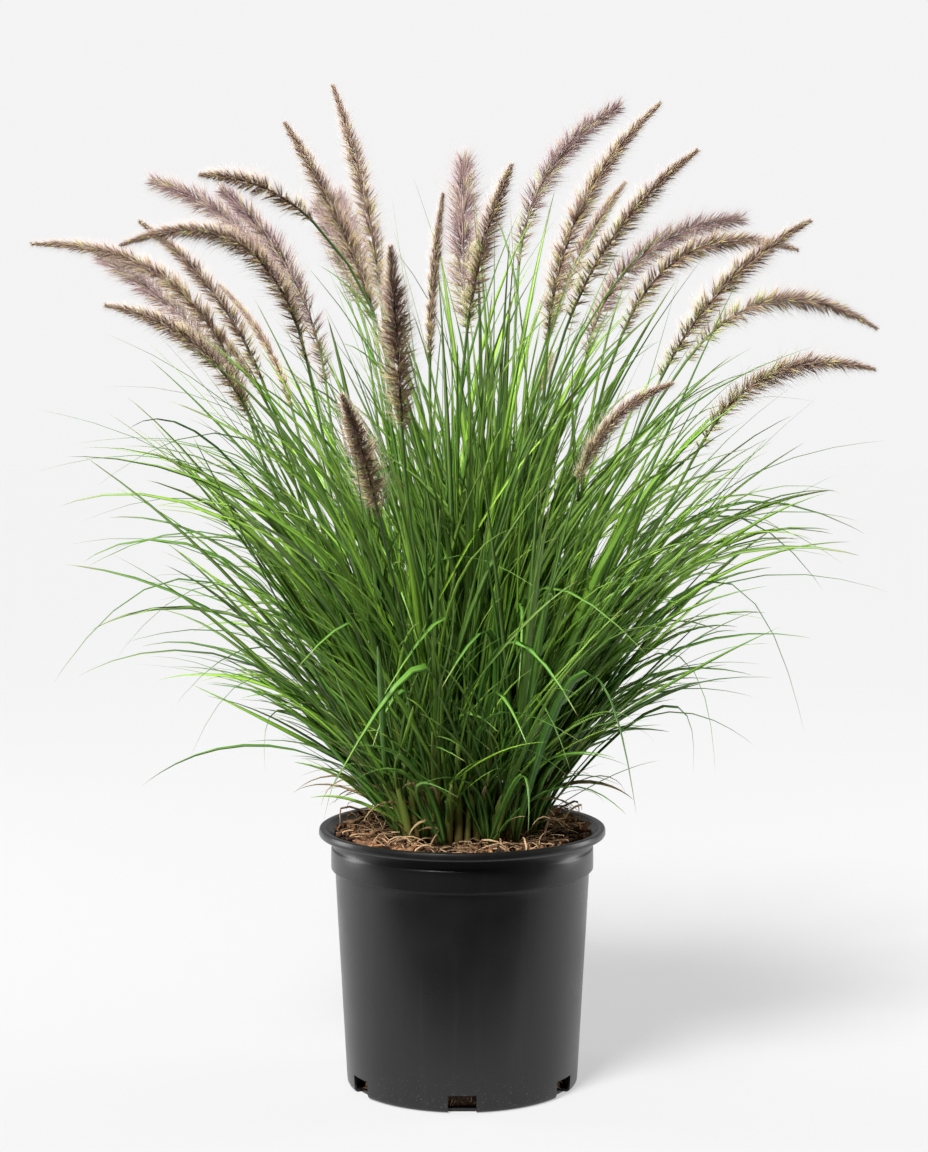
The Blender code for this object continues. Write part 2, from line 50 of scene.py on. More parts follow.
CAMERA_SENSOR = 36.0
BACKDROP_SHADE = 0.90
LIGHT_SHADE = 0.36
# The light fades towards the camera, where the studio is dark, so the front of the pot stays black
CAMERA_SIDE_SHADE = 0.10
FADE_FRONT = -0.95
FADE_BACK = 0.10
SUN_PLACE = (-1.35, -2.55, 4.0)
SUN_AIM = (0.0, 0.0, 0.4)
SUN_POWER = 6.8
SUN_ANGLE = math.radians(18.0)
SIDE_LIGHTS = (("left_light", -2.3, 27.0), ("right_light", 2.3, 22.0))
SIDE_LIGHT_DEPTH = 0.75
SIDE_LIGHT_HEIGHT = 0.9
SIDE_LIGHT_AIM = (0.0, 0.0, 0.35)
SIDE_LIGHT_SIZE = (0.9, 1.8)
FLOOR_SIDES = 96
FLOOR_RADIUS = 14.0
FLOOR_LEVEL = -0.0002
PAPER_SHADE = 0.20
PAPER_GLOW = 0.50
# In the pot's gloss and as bounced light, the paper ends in front of the pot between these
PAPER_END_SHADE = 0.02
SWEEP_FRONT = -0.46
SWEEP_FULL = -0.22

camera_data = bpy.data.cameras.new("camera")
camera_data.lens = CAMERA_LENS
camera_data.sensor_width = CAMERA_SENSOR
camera = bpy.data.objects.new("camera", camera_data)
camera.location = CAMERA_PLACE
camera.rotation_euler = (CAMERA_TILT, 0.0, 0.0)
bpy.context.scene.collection.objects.link(camera)
bpy.context.scene.camera = camera
bpy.context.scene.view_settings.view_transform = "Standard"


def wire(tree, value, socket):
    """Give a socket a number, a colour or another node's output."""
    if isinstance(value, bpy.types.NodeSocket):
        tree.links.new(value, socket)
    elif socket.type == "RGBA":
        socket.default_value = (*value, 1.0)
    else:
        socket.default_value = value


def add_node(tree, kind, wires=None, **settings):
    """Add a shader node with its settings, and give its sockets what wires says."""
    node = tree.nodes.new("ShaderNode" + kind)
    for name, setting in settings.items():
        setattr(node, name, setting)
    for socket, value in (wires or {}).items():
        wire(tree, value, node.inputs[socket])
    return node


def spread(tree, value, low, high, to_low=0.0, to_high=1.0):
    """Value between low and high, taken to another range and held there."""
    wires = {"Value": value, "From Min": low, "From Max": high, "To Min": to_low, "To Max": to_high}
    return add_node(tree, "MapRange", wires).outputs["Result"]


def along_axis(tree, vector, axis):
    return add_node(tree, "SeparateXYZ", {"Vector": vector}).outputs[axis]


world = bpy.data.worlds.new("studio")
world.use_nodes = True
bpy.context.scene.world = world
sky = world.node_tree
seen = sky.nodes["Background"]
wire(sky, (BACKDROP_SHADE,) * 3, seen.inputs["Color"])
toward = along_axis(sky, add_node(sky, "TexCoord").outputs["Generated"], "Y")
lighting = add_node(sky, "Background", {
    "Color": (LIGHT_SHADE,) * 3, "Strength": spread(sky, toward, FADE_FRONT, FADE_BACK, CAMERA_SIDE_SHADE)})
either = add_node(sky, "MixShader", {
    "Fac": add_node(sky, "LightPath").outputs["Is Camera Ray"],
    1: lighting.outputs["Background"], 2: seen.outputs["Background"]})
wire(sky, either.outputs["Shader"], sky.nodes["World Output"].inputs["Surface"])


def add_light(name, kind, place, aim, power):
    data = bpy.data.lights.new(name, kind)
    data.energy = power
    light = bpy.data.objects.new(name, data)
    light.location = place
    light.rotation_euler = (Vector(aim) - Vector(place)).to_track_quat("-Z", "Y").to_euler()
    bpy.context.scene.collection.objects.link(light)
    return data


add_light("overhead_light", "SUN", SUN_PLACE, SUN_AIM, SUN_POWER).angle = SUN_ANGLE
for side_name, across, power in SIDE_LIGHTS:
    side_place = (across, SIDE_LIGHT_DEPTH, SIDE_LIGHT_HEIGHT)
    side_light = add_light(side_name, "AREA", side_place, SIDE_LIGHT_AIM, power)
    side_light.shape = "RECTANGLE"
    side_light.size, side_light.size_y = SIDE_LIGHT_SIZE


def deselect_all():
    bpy.ops.object.select_all(action="DESELECT")


def new_material(name, roughness, specular):
    """A material, its node tree and its shader."""
    material = bpy.data.materials.new(name)
    material.use_nodes = True
    shader = material.node_tree.nodes["Principled BSDF"]
    shader.inputs["Roughness"].default_value = roughness
    shader.inputs["Specular IOR Level"].default_value = specular
    return material, material.node_tree, shader


def on_piece(tree):
    """Coordinates that are fixed to the piece."""
    return add_node(tree, "TexCoord").outputs["Object"]


deselect_all()
bpy.ops.mesh.primitive_circle_add(
    vertices=FLOOR_SIDES, radius=FLOOR_RADIUS, fill_type="NGON", location=(0.0, 0.0, FLOOR_LEVEL))
floor = bpy.context.object
floor.name = "studio_floor"
paper, tree, shader = new_material("studio_paper", 0.85, 0.1)
wire(tree, (1.0, 1.0, 1.0), shader.inputs["Emission Color"])
depth = along_axis(tree, on_piece(tree), "Y")
# Looked at, the paper is evenly pale
looked_at = add_node(tree, "LightPath").outputs["Is Camera Ray"]
for socket, full in (("Base Color", PAPER_SHADE), ("Emission Strength", PAPER_GLOW)):
    ending = spread(tree, depth, SWEEP_FRONT, SWEEP_FULL, PAPER_END_SHADE, full)
    shown = add_node(tree, "Mix", {"Factor": looked_at, "A": ending, "B": full})
    wire(tree, shown.outputs["Result"], shader.inputs[socket])
floor.data.materials.append(paper)


# Nursery pot
# A thin blow-moulded tub of black polyethylene: rolled rim, recessed neck, plain band, tapering body
# and flat foot. Six square drain windows are cut where the wall meets the foot.
POT_SIDES = 144
# Radius and height up the outside and over the rim, then down the inside to the floor
POT_OUTSIDE = [
    (0.1082, 0.0000), (0.1103, 0.0003), (0.1121, 0.0014), (0.1131, 0.0032), (0.1134, 0.0060), (0.1150, 0.0350),
    (0.1184, 0.1000), (0.1217, 0.1600), (0.1238, 0.2020), (0.1241, 0.2092), (0.1246, 0.2116), (0.1260, 0.2126),
    (0.1274, 0.2131), (0.1281, 0.2139), (0.1282, 0.2152), (0.1282, 0.2240), (0.1281, 0.2325), (0.1278, 0.2343),
    (0.1271, 0.2351), (0.1268, 0.2362), (0.1268, 0.2425), (0.1272, 0.2446), (0.1290, 0.2454), (0.1381, 0.2456),
    (0.1393, 0.2464), (0.1399, 0.2476), (0.1400, 0.2492), (0.1398, 0.2514), (0.1391, 0.2531), (0.1378, 0.2539),
    (0.1350, 0.2538), (0.1329, 0.2532), (0.1322, 0.2522),
]
POT_INSIDE = [
    (0.1290, 0.2490), (0.1252, 0.2468), (0.1246, 0.2440), (0.1240, 0.2340), (0.1224, 0.2120), (0.1110, 0.0030),
]
WINDOW_COUNT = 6
WINDOW_WIDTH = 0.0270
WINDOW_HEIGHT = 0.0175
WINDOW_BACK = 0.1052
WINDOW_FRONT = 0.1230
CUTTER_BELOW = 0.010
CREASE_ANGLE = math.radians(32)
PLASTIC_BLACK = (0.0032, 0.0032, 0.0034)
PLASTIC_CLOUD = (0.0056, 0.0056, 0.0058)
PLASTIC_STREAK = (0.016, 0.016, 0.0165)
DUST = (0.20, 0.165, 0.13)
DUST_TOP = 0.045


def take_up(obj):
    """Make a piece the only one selected."""
    deselect_all()
    obj.select_set(True)
    bpy.context.view_layer.objects.active = obj


def edit(obj):
    """Open a piece in edit mode with all of it selected."""
    take_up(obj)
    bpy.ops.object.mode_set(mode="EDIT")
    bpy.ops.mesh.select_mode(type="VERT")
    bpy.ops.mesh.select_all(action="SELECT")


def close():
    bpy.ops.object.mode_set(mode="OBJECT")
    deselect_all()


def open_disc(sides, radius, height=0.0):
    """A filled circle in edit mode, the start of a tube."""
    deselect_all()
    bpy.ops.mesh.primitive_circle_add(
        vertices=sides, radius=radius, fill_type="NGON", location=(0.0, 0.0, height))
    disc = bpy.context.object
    edit(disc)
    return disc


def grow_rings(rings):
    """Extrude the selected end face through rings of (scale from the last ring, rise)."""
    for scale, rise in rings:
        bpy.ops.mesh.extrude_region_move(TRANSFORM_OT_translate={"value": (0.0, 0.0, rise)})
        bpy.ops.transform.resize(value=(scale, scale, 1.0))


def close_tube():
    """Turn every face outwards and leave edit mode."""
    bpy.ops.mesh.select_all(action="SELECT")
    bpy.ops.mesh.normals_make_consistent(inside=False)
    close()


def ring_steps(profile):
    return [(after[0] / before[0], after[1] - before[1]) for before, after in zip(profile, profile[1:])]


def turned(sides, profile):
    """A closed tube through rings of (radius, height)."""
    tube = open_disc(sides, *profile[0])
    grow_rings(ring_steps(profile))
    close_tube()
    return tube


def join_pieces(pieces):
    """Join pieces into the first one."""
    deselect_all()
    for piece in pieces:
        piece.select_set(True)
    bpy.context.view_layer.objects.active = pieces[0]
    bpy.ops.object.join()


def window_angle(window):
    """Where a window stands round the pot. The first faces the front."""
    return math.radians(-90.0) + math.tau * window / WINDOW_COUNT


pot = turned(POT_SIDES, POT_OUTSIDE + POT_INSIDE)
pot.name = "pot"

deselect_all()
cutters = []
reach = (WINDOW_BACK + WINDOW_FRONT) / 2
for window in range(WINDOW_COUNT):
    turn = window_angle(window)
    bpy.ops.mesh.primitive_cube_add(
        size=1.0, rotation=(0.0, 0.0, turn),
        location=(reach * math.cos(turn), reach * math.sin(turn), (WINDOW_HEIGHT - CUTTER_BELOW) / 2),
        scale=(WINDOW_FRONT - WINDOW_BACK, WINDOW_WIDTH, WINDOW_HEIGHT + CUTTER_BELOW))
    cutters.append(bpy.context.object)
join_pieces(cutters)
cutter = bpy.context.object
bpy.ops.object.transform_apply(location=True, rotation=True, scale=True)
cut = pot.modifiers.new("windows", "BOOLEAN")
cut.operation = "DIFFERENCE"
cut.solver = "EXACT"
cut.object = cutter
take_up(pot)
bpy.ops.object.modifier_apply(modifier=cut.name)
bpy.data.objects.remove(cutter, do_unlink=True)
bpy.ops.object.shade_smooth_by_angle(angle=CREASE_ANGLE)


def noise(tree, coordinates, scale, detail=4.0, roughness=0.55, stretch=None):
    """Noise on the given coordinates, pulled out along an axis where stretch is given."""
    if stretch is not None:
        coordinates = add_node(tree, "Mapping", {"Vector": coordinates, "Scale": stretch}).outputs["Vector"]
    wires = {"Vector": coordinates, "Scale": scale, "Detail": detail, "Roughness": roughness}
    return add_node(tree, "TexNoise", wires).outputs["Fac"]


def maths(tree, operation, first, second=0.0):
    return add_node(tree, "Math", {0: first, 1: second}, operation=operation).outputs["Value"]


def mix_colour(tree, factor, first, second):
    return add_node(tree, "Mix", {0: factor, 6: first, 7: second}, data_type="RGBA").outputs[2]


def add_bump(tree, shader, height, strength, distance):
    bump = add_node(tree, "Bump", {"Strength": strength, "Distance": distance, "Height": height})
    wire(tree, bump.outputs["Normal"], shader.inputs["Normal"])


black_plastic, tree, shader = new_material("black_pot_plastic", 0.3, 0.5)
place = on_piece(tree)
cloudy = noise(tree, place, 24.0, 5.0)
streaks = spread(tree, noise(tree, place, 60.0, 3.0, stretch=(1.0, 1.0, 0.05)), 0.55, 0.75, 0.0, 0.35)
specks = spread(tree, noise(tree, place, 620.0, 2.0), 0.665, 0.70)
near_foot = spread(tree, along_axis(tree, place, "Z"), 0.0, DUST_TOP, 1.0, 0.0)
dust = maths(tree, "MULTIPLY", maths(tree, "MULTIPLY", specks, near_foot), 0.55)
colour = mix_colour(tree, cloudy, PLASTIC_BLACK, PLASTIC_CLOUD)
colour = mix_colour(tree, streaks, colour, PLASTIC_STREAK)
wire(tree, mix_colour(tree, dust, colour, DUST), shader.inputs["Base Color"])
wire(tree, spread(tree, cloudy, 0.3, 0.7, 0.26, 0.35), shader.inputs["Roughness"])
add_bump(tree, shader, noise(tree, place, 900.0, 2.0), 0.12, 0.0004)
pot.data.materials.clear()
pot.data.materials.append(black_plastic)
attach(pot, "root")
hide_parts("nursery_pot")


# Potting mix
# The root ball fills the pot to about a centimetre below the rim: bark chips and coarse fibres on top,
# and brown roots showing in the drain windows.
MIX_SIDES = 72
MIX_PROFILE = [
    (0.0985, 0.0034), (0.1015, 0.0100), (0.1035, 0.0185), (0.1112, 0.0215), (0.1212, 0.2110), (0.1216, 0.2280),
    (0.1225, 0.2385), (0.1180, 0.2410), (0.1060, 0.2425), (0.0900, 0.2438), (0.0700, 0.2442), (0.0450, 0.2446),
    (0.0200, 0.2448),
]
LUMPS_ABOVE = 0.235
LUMP_SIZE = 0.012
LUMP_HEIGHT = 0.006
MULCH_LEVEL = 0.2432
# The mulch is heaped a little against the wall: all round, at the sides and at the back
HEAP_ROUND, HEAP_SIDES, HEAP_BACK = 0.0020, 0.0060, 0.0025
CHIP_COUNT = 900
CHIP_LENGTHS = (0.006, 0.022)
CHIP_WIDTHS = (0.0022, 0.0062)
CHIP_THICKNESSES = (0.0008, 0.0024)
CHIP_REACH = 0.1262
STRAW_COUNT = 300
STRAW_LENGTHS = (0.012, 0.050)
STRAW_RADII = (0.0003, 0.0009)
STRAW_REACH = 0.1195
STRAW_LOWEST = 0.2405
LOOP_COUNT = 90
LOOP_LENGTHS = (0.030, 0.095)
LOOP_RADII = (0.0005, 0.0012)
LOOP_LOWEST = 0.2425
# Roots in each drain window, and how far back, across and up they lie
ROOT_COUNT = 46
ROOT_LENGTHS = (0.004, 0.011)
ROOT_DEPTHS = (0.0985, 0.1015)
ROOT_SIDE = 0.0125
ROOT_SIDE_MOST = 0.0128
ROOT_HEIGHTS = (0.0035, 0.0165)
ROOT_TOP = 0.0170
SOIL, BARK, STRAW = 0, 1, 2
UP = np.array([0.0, 0.0, 1.0])


class Growth:
    """Collects copies of modelled shapes, each bent or placed on its own, to join as one mesh."""

    def __init__(self, seed):
        self.rng = np.random.default_rng(seed)
        self.parts = []
        self.count = 0

    def add(self, shape, places, tone, slot):
        """places is copies x points x 3. tone is one for all or one a copy, slot one for all or one a face."""
        copies, points, _ = places.shape
        sizes = shape["sizes"]
        starts = self.count + points * np.arange(copies)[:, None]
        self.parts.append((
            places.reshape(-1, 3), (shape["corners"][None, :] + starts).ravel(), np.tile(sizes, copies),
            np.tile(np.broadcast_to(slot, sizes.shape), copies), np.tile(shape["map"], (copies, 1)),
            np.repeat(np.broadcast_to(tone, (copies,)), points)))
        self.count += copies * points

    def join(self, name, materials):
        mesh = bpy.data.meshes.new(name)
        places, corners, sizes, slots, maps, tones = (np.concatenate(part) for part in zip(*self.parts))
        mesh.vertices.add(len(places))
        mesh.vertices.foreach_set("co", places.astype(np.float32).ravel())
        mesh.loops.add(len(corners))
        mesh.loops.foreach_set("vertex_index", corners.astype(np.int32))
        mesh.polygons.add(len(sizes))
        mesh.polygons.foreach_set("loop_start", (np.cumsum(sizes) - sizes).astype(np.int32))
        mesh.polygons.foreach_set("material_index", slots.astype(np.int32))
        mesh.polygons.foreach_set("use_smooth", np.ones(len(sizes), bool))
        chart = mesh.uv_layers.new(name="along").uv
        chart.foreach_set("vector", maps.astype(np.float32).ravel())
        tone = mesh.attributes.new("tone", "FLOAT", "POINT").data
        tone.foreach_set("value", tones.astype(np.float32))
        mesh.update(calc_edges=True)
        mesh.validate()
        for material in materials:
            mesh.materials.append(material)
        obj = bpy.data.objects.new(name, mesh)
        bpy.context.scene.collection.objects.link(obj)
        return obj


def take_shape(obj):
    """Read a modelled piece as a shape to copy, and put the original away. Its map is (across, up), and
    faces that look back have 2 added to across."""
    mesh = obj.data
    points = np.array([vert.co for vert in mesh.vertices])
    corners = np.array([loop.vertex_index for loop in mesh.loops])
    sizes = np.array([len(face.vertices) for face in mesh.polygons])
    heights = np.unique(np.round(points[:, 2], 5))
    behind = np.repeat([2.0 if face.normal.y < -0.3 else 0.0 for face in mesh.polygons], sizes)
    shape = {
        "points": points,
        "corners": corners,
        "sizes": sizes,
        "rows": heights,
        "row": np.searchsorted(heights, np.round(points[:, 2], 5)),
        "map": np.stack((points[corners, 0] * 0.5 + 0.5 + behind, points[corners, 2]), axis=1),
    }
    bpy.data.objects.remove(obj, do_unlink=True)
    return shape


def along_paths(shape, spots, sides, uppers, half_widths):
    """Bend copies of a shape that stands on its rows along paths, which are all copies x rows x 3."""
    row = shape["row"]
    across = shape["points"][None, :, 0:1] * half_widths[:, None, None]
    out = shape["points"][None, :, 1:2] * half_widths[:, None, None]
    return spots[:, row] + sides[:, row] * across + uppers[:, row] * out


def placed(shape, spots, axes, scales):
    """Copies of a shape at spots, turned to axes (copies x 3 x 3, rows are the shape's x, y and z)."""
    points = shape["points"][None, :, :] * scales[:, None, :]
    return np.einsum("cpi,cij->cpj", points, axes) + spots[:, None, :]


def unit(vectors):
    return vectors / np.maximum(np.linalg.norm(vectors, axis=-1, keepdims=True), 1e-9)


def turned_about(side, upper, angle):
    """Two directions turned about the third by angle."""
    cos = np.cos(angle)[..., None]
    sin = np.sin(angle)[..., None]
    return side * cos + upper * sin, upper * cos - side * sin


def axes_about(directions, spins):
    """A turned set of axes for each direction, which becomes z."""
    hint = np.where(np.abs(directions[:, 2:3]) < 0.9, UP[None], np.array([[1.0, 0.0, 0.0]]))
    side = unit(np.cross(hint, directions))
    side, upper = turned_about(side, np.cross(directions, side), spins)
    return np.stack((side, upper, directions), axis=1)


def pick(obj, wanted):
    """Select the points that a test of their place accepts, and what lies between them."""
    mesh = bmesh.from_edit_mesh(obj.data)
    for vert in mesh.verts:
        vert.select_set(bool(wanted(vert.co)))
    mesh.select_flush_mode()
    bmesh.update_edit_mesh(obj.data)


# One bark chip: a split flake with uneven broken ends
deselect_all()
bpy.ops.mesh.primitive_cube_add(size=1.0)
chip = bpy.context.object
edit(chip)
bpy.ops.mesh.subdivide(number_cuts=1)
bpy.ops.transform.vertex_random(offset=0.16, uniform=0.2, seed=3)
pick(chip, lambda co: co.z > 0.25)
bpy.ops.transform.resize(value=(0.62, 0.8, 1.0))
close()
chip_shape = take_shape(chip)

# One straw: a thin stalk, drawn in at its ends
straw = open_disc(4, 0.8)
grow_rings([(1.2, 0.16), (1.0, 0.17), (1.0, 0.17), (0.95, 0.17), (0.85, 0.17), (0.5, 0.16)])
close_tube()
straw_shape = take_shape(straw)

# The root ball itself: a full tub of soil with a lumpy top
root_ball = turned(MIX_SIDES, MIX_PROFILE)
top_points = root_ball.vertex_groups.new(name="top")
top_points.add([vert.index for vert in root_ball.data.vertices if vert.co.z > LUMPS_ABOVE], 1.0, "REPLACE")
lumps = bpy.data.textures.new("mulch_lumps", "CLOUDS")
lumps.noise_scale = LUMP_SIZE
lumpy = root_ball.modifiers.new("lumpy", "DISPLACE")
lumpy.texture = lumps
lumpy.texture_coords = "LOCAL"
lumpy.direction = "Z"
lumpy.vertex_group = "top"
lumpy.mid_level = 0.5
lumpy.strength = LUMP_HEIGHT
take_up(root_ball)
bpy.ops.object.modifier_apply(modifier=lumpy.name)
soil_shape = take_shape(root_ball)

mix = Growth(20)
rng = mix.rng
mix.add(soil_shape, soil_shape["points"][None], 0.25, SOIL)


def on_mulch(count, inner, outer, low, high):
    """Places spread evenly over the top of the mix."""
    radius = np.sqrt(rng.uniform(inner * inner, outer * outer, count))
    angle = rng.uniform(0.0, math.tau, count)
    rise = rng.uniform(low, high, count)
    heap = HEAP_ROUND + HEAP_SIDES * np.abs(np.cos(angle)) + HEAP_BACK * np.sin(angle)
    heap = (radius / outer) ** 3 * heap
    return np.stack((radius * np.cos(angle), radius * np.sin(angle), MULCH_LEVEL + heap + rise), axis=1)


def keep_within(spots, radius):
    """Draw in what lies further than radius from the middle of the pot."""
    reach = np.maximum(np.hypot(spots[..., 0], spots[..., 1]), 1e-6)
    spots[..., :2] *= np.minimum(1.0, radius / reach)[..., None]


def pointing(heading, rise):
    """Directions at a heading, raised from level by rise."""
    return np.stack((np.cos(heading) * np.cos(rise), np.sin(heading) * np.cos(rise), np.sin(rise)), axis=-1)


spots = on_mulch(CHIP_COUNT, 0.0, 0.1240, -0.0020, 0.0040)
directions = pointing(rng.uniform(0.0, math.tau, CHIP_COUNT), rng.normal(0.0, 0.30, CHIP_COUNT))
length = rng.uniform(*CHIP_LENGTHS, CHIP_COUNT) * rng.uniform(0.6, 1.0, CHIP_COUNT)
width = np.minimum(length * 0.7, rng.uniform(*CHIP_WIDTHS, CHIP_COUNT))
thick = rng.uniform(*CHIP_THICKNESSES, CHIP_COUNT)
keep_within(spots, CHIP_REACH - length * 0.50)
axes = axes_about(directions, rng.normal(math.pi / 2, 0.5, CHIP_COUNT))
chip_places = placed(chip_shape, spots, axes, np.stack((width, thick, length), axis=1))
mix.add(chip_shape, chip_places, rng.uniform(0.0, 1.0, CHIP_COUNT), BARK)


def curled_paths(starts, headings, rises, lengths, curls, droops):
    """Paths that set out level at a heading, turn aside by curl and fall by droop over their length."""
    along = straw_shape["rows"][None, :]
    steps = np.diff(along[0], prepend=along[0, 0])
    direction = pointing(headings[:, None] + curls[:, None] * along, rises[:, None] - droops[:, None] * along)
    spots = starts[:, None] + np.cumsum(direction * steps[None, :, None], axis=1) * lengths[:, None, None]
    side = unit(np.cross(UP, direction))
    return spots, side, np.cross(direction, side)


def add_straws(paths, radii, tones):
    """Lay a straw on each path, its radius and its tone drawn between two values."""
    count = len(paths[0])
    straws = along_paths(straw_shape, *paths, rng.uniform(*radii, count))
    mix.add(straw_shape, straws, rng.uniform(*tones, count), STRAW)


def keep_on_mulch(spots, lowest):
    keep_within(spots, STRAW_REACH)
    spots[..., 2] = np.maximum(spots[..., 2], lowest)


paths = curled_paths(
    on_mulch(STRAW_COUNT, 0.03, 0.112, 0.0020, 0.0062), lengths=rng.uniform(*STRAW_LENGTHS, STRAW_COUNT),
    headings=rng.uniform(0.0, math.tau, STRAW_COUNT), curls=rng.normal(0.0, 1.3, STRAW_COUNT),
    rises=rng.uniform(0.0, 0.55, STRAW_COUNT), droops=rng.uniform(0.2, 1.1, STRAW_COUNT))
keep_on_mulch(paths[0], STRAW_LOWEST)
add_straws(paths, STRAW_RADII, (0.0, 1.0))

# Dry stalks that spring up from the mulch and loop back to it
paths = curled_paths(
    on_mulch(LOOP_COUNT, 0.035, 0.108, 0.0, 0.003), headings=rng.uniform(0.0, math.tau, LOOP_COUNT),
    rises=rng.uniform(0.6, 1.4, LOOP_COUNT), lengths=rng.uniform(*LOOP_LENGTHS, LOOP_COUNT),
    curls=rng.normal(0.0, 1.4, LOOP_COUNT), droops=rng.uniform(1.4, 3.2, LOOP_COUNT))
keep_on_mulch(paths[0], LOOP_LOWEST)
add_straws(paths, LOOP_RADII, (0.3, 1.0))

for window in range(WINDOW_COUNT):
    turn = window_angle(window)
    outward = np.array([math.cos(turn), math.sin(turn), 0.0])
    sideways = np.array([-math.sin(turn), math.cos(turn), 0.0])
    start = (outward * rng.uniform(*ROOT_DEPTHS, (ROOT_COUNT, 1))
             + sideways * rng.uniform(-ROOT_SIDE, ROOT_SIDE, (ROOT_COUNT, 1))
             + UP * rng.uniform(*ROOT_HEIGHTS, (ROOT_COUNT, 1)))
    paths = curled_paths(
        start, headings=turn + rng.choice([-1.0, 1.0], ROOT_COUNT) * rng.uniform(1.2, 1.9, ROOT_COUNT),
        rises=rng.normal(0.0, 0.7, ROOT_COUNT), lengths=rng.uniform(*ROOT_LENGTHS, ROOT_COUNT),
        curls=rng.normal(0.0, 1.5, ROOT_COUNT), droops=rng.normal(0.0, 0.8, ROOT_COUNT))
    bent = paths[0]
    across = bent @ sideways
    bent += sideways * (np.clip(across, -ROOT_SIDE_MOST, ROOT_SIDE_MOST) - across)[..., None]
    bent[..., 2] = np.clip(bent[..., 2], ROOT_HEIGHTS[0], ROOT_TOP)
    add_straws(paths, STRAW_RADII, (0.3, 1.0))


def new_group(name, inputs, outputs):
    """A node group with named sockets and their kinds, what it takes and what it gives."""
    group = bpy.data.node_groups.new(name, "ShaderNodeTree")
    for way, sockets in (("INPUT", inputs), ("OUTPUT", outputs)):
        for label, kind in sockets.items():
            group.interface.new_socket(label, in_out=way, socket_type="NodeSocket" + kind)
    return group, group.nodes.new("NodeGroupInput").outputs, group.nodes.new("NodeGroupOutput").inputs


# Woody grain: long light and dark fibres in lighter and darker patches, for bark, straw and soil
grain_group, taken, given = new_group(
    "woody_grain", {"Place": "Vector", "Fineness": "Float", "Tone": "Float", "Dark": "Color", "Light": "Color"},
    {"Colour": "Color", "Height": "Float"})
tree = grain_group
scaled = add_node(tree, "VectorMath", {"Vector": taken["Place"], "Scale": taken["Fineness"]}, operation="SCALE")
fine = scaled.outputs["Vector"]
fibres = noise(tree, fine, 420.0, 5.0, 0.62, stretch=(1.0, 1.0, 0.35))
patches = noise(tree, fine, 85.0, 3.0)
shade = maths(tree, "ADD", spread(tree, fibres, 0.30, 0.72, -0.22, 0.22),
              spread(tree, patches, 0.3, 0.7, -0.18, 0.18))
shade = spread(tree, maths(tree, "ADD", shade, taken["Tone"]), 0.0, 1.0)
wire(tree, mix_colour(tree, shade, taken["Dark"], taken["Light"]), given["Colour"])
wire(tree, fibres, given["Height"])


def tone_of(tree):
    """Each copy's own tone."""
    return add_node(tree, "Attribute", attribute_name="tone").outputs["Fac"]


def woody(name, dark, light, fineness, tone_low, tone_high, roughness):
    material, tree, shader = new_material(name, roughness, 0.3)
    wires = {"Place": on_piece(tree), "Fineness": fineness, "Dark": dark, "Light": light,
             "Tone": spread(tree, tone_of(tree), 0.0, 1.0, tone_low, tone_high)}
    grain = add_node(tree, "Group", wires, node_tree=grain_group).outputs
    wire(tree, grain["Colour"], shader.inputs["Base Color"])
    add_bump(tree, shader, grain["Height"], 0.5, 0.0012)
    return material


soil = woody("potting_soil", (0.010, 0.005, 0.003), (0.130, 0.070, 0.035), 1.0, 0.2, 0.6, 0.95)
bark = woody("bark_chip", (0.012, 0.005, 0.002), (0.37, 0.185, 0.088), 1.0, -0.15, 0.85, 0.9)
straw_fibre = woody("straw_fibre", (0.080, 0.040, 0.016), (0.66, 0.43, 0.24), 1.3, 0.0, 0.95, 0.75)
potting_mix = mix.join("bark_mulch_and_root_ball", [soil, bark, straw_fibre])
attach(potting_mix, "root")
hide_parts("potting_mix")


# Leafy shoots
# Each shoot is a little fan of tillers: flat folded sheaths, brown at the foot, with long keeled leaves
# that leave them alternately left and right, rise, arch over and taper to a hair.

# How each kind of shoot grows, by the angles at which its shoots stand: lean and its spread, lengths of leaf,
# droop of the tip, tillers, leaves on each, and how far its tillers fan out
HABITS = [
    {"angles": (-115, -35, 80, 20, 172, -95), "lean": (9.0, 6.0), "lengths": (0.28, 0.62),
     "droops": (4.0, 70.0), "tillers": 5, "leaves": 12, "fan": 60.0},
    {"angles": (-178, -158, -128, -75, -48, -22, 4, 38, 66, 98, 128, 158), "lean": (22.0, 9.0),
     "lengths": (0.20, 0.50), "droops": (8.0, 100.0), "tillers": 5, "leaves": 12, "fan": 28.0},
    {"angles": (-170, -140, -108, -62, -12, 18, 55, 90, 138), "lean": (44.0, 11.0),
     "lengths": (0.11, 0.30), "droops": (6.0, 70.0), "tillers": 6, "leaves": 7, "fan": 28.0},
]
MOST_LEAN = 56.0
# Hair-fine, common and broad leaves, and how many of each
LEAF_WIDTHS = (0.0031, 0.0064, 0.0092)
LEAF_SHARES = (0.28, 0.42, 0.30)
BROAD_FROM = 0.008
BROAD_TONE = 0.75
FULL_WIDTH_LENGTH = 0.40
LEAF_DRIFT = 0.34
LEAF_POWERS = (1.1, 3.0)
# Some tillers have begun to lengthen, and carry their leaves higher
TALL_CHANCE = 0.35
TALL_STALKS = (0.12, 0.24)
SHORT_STALKS = (0.060, 0.115)
TWIN_CHANCE = 0.4
TWIN_BESIDE = (0.0030, 0.0050)
SHEATH_HALF_WIDTHS = (0.0028, 0.0048)
TILLER_OFFSETS = (0.004, 0.009)
DRAWN_IN = np.array([0.14, 0.14, 0.0])
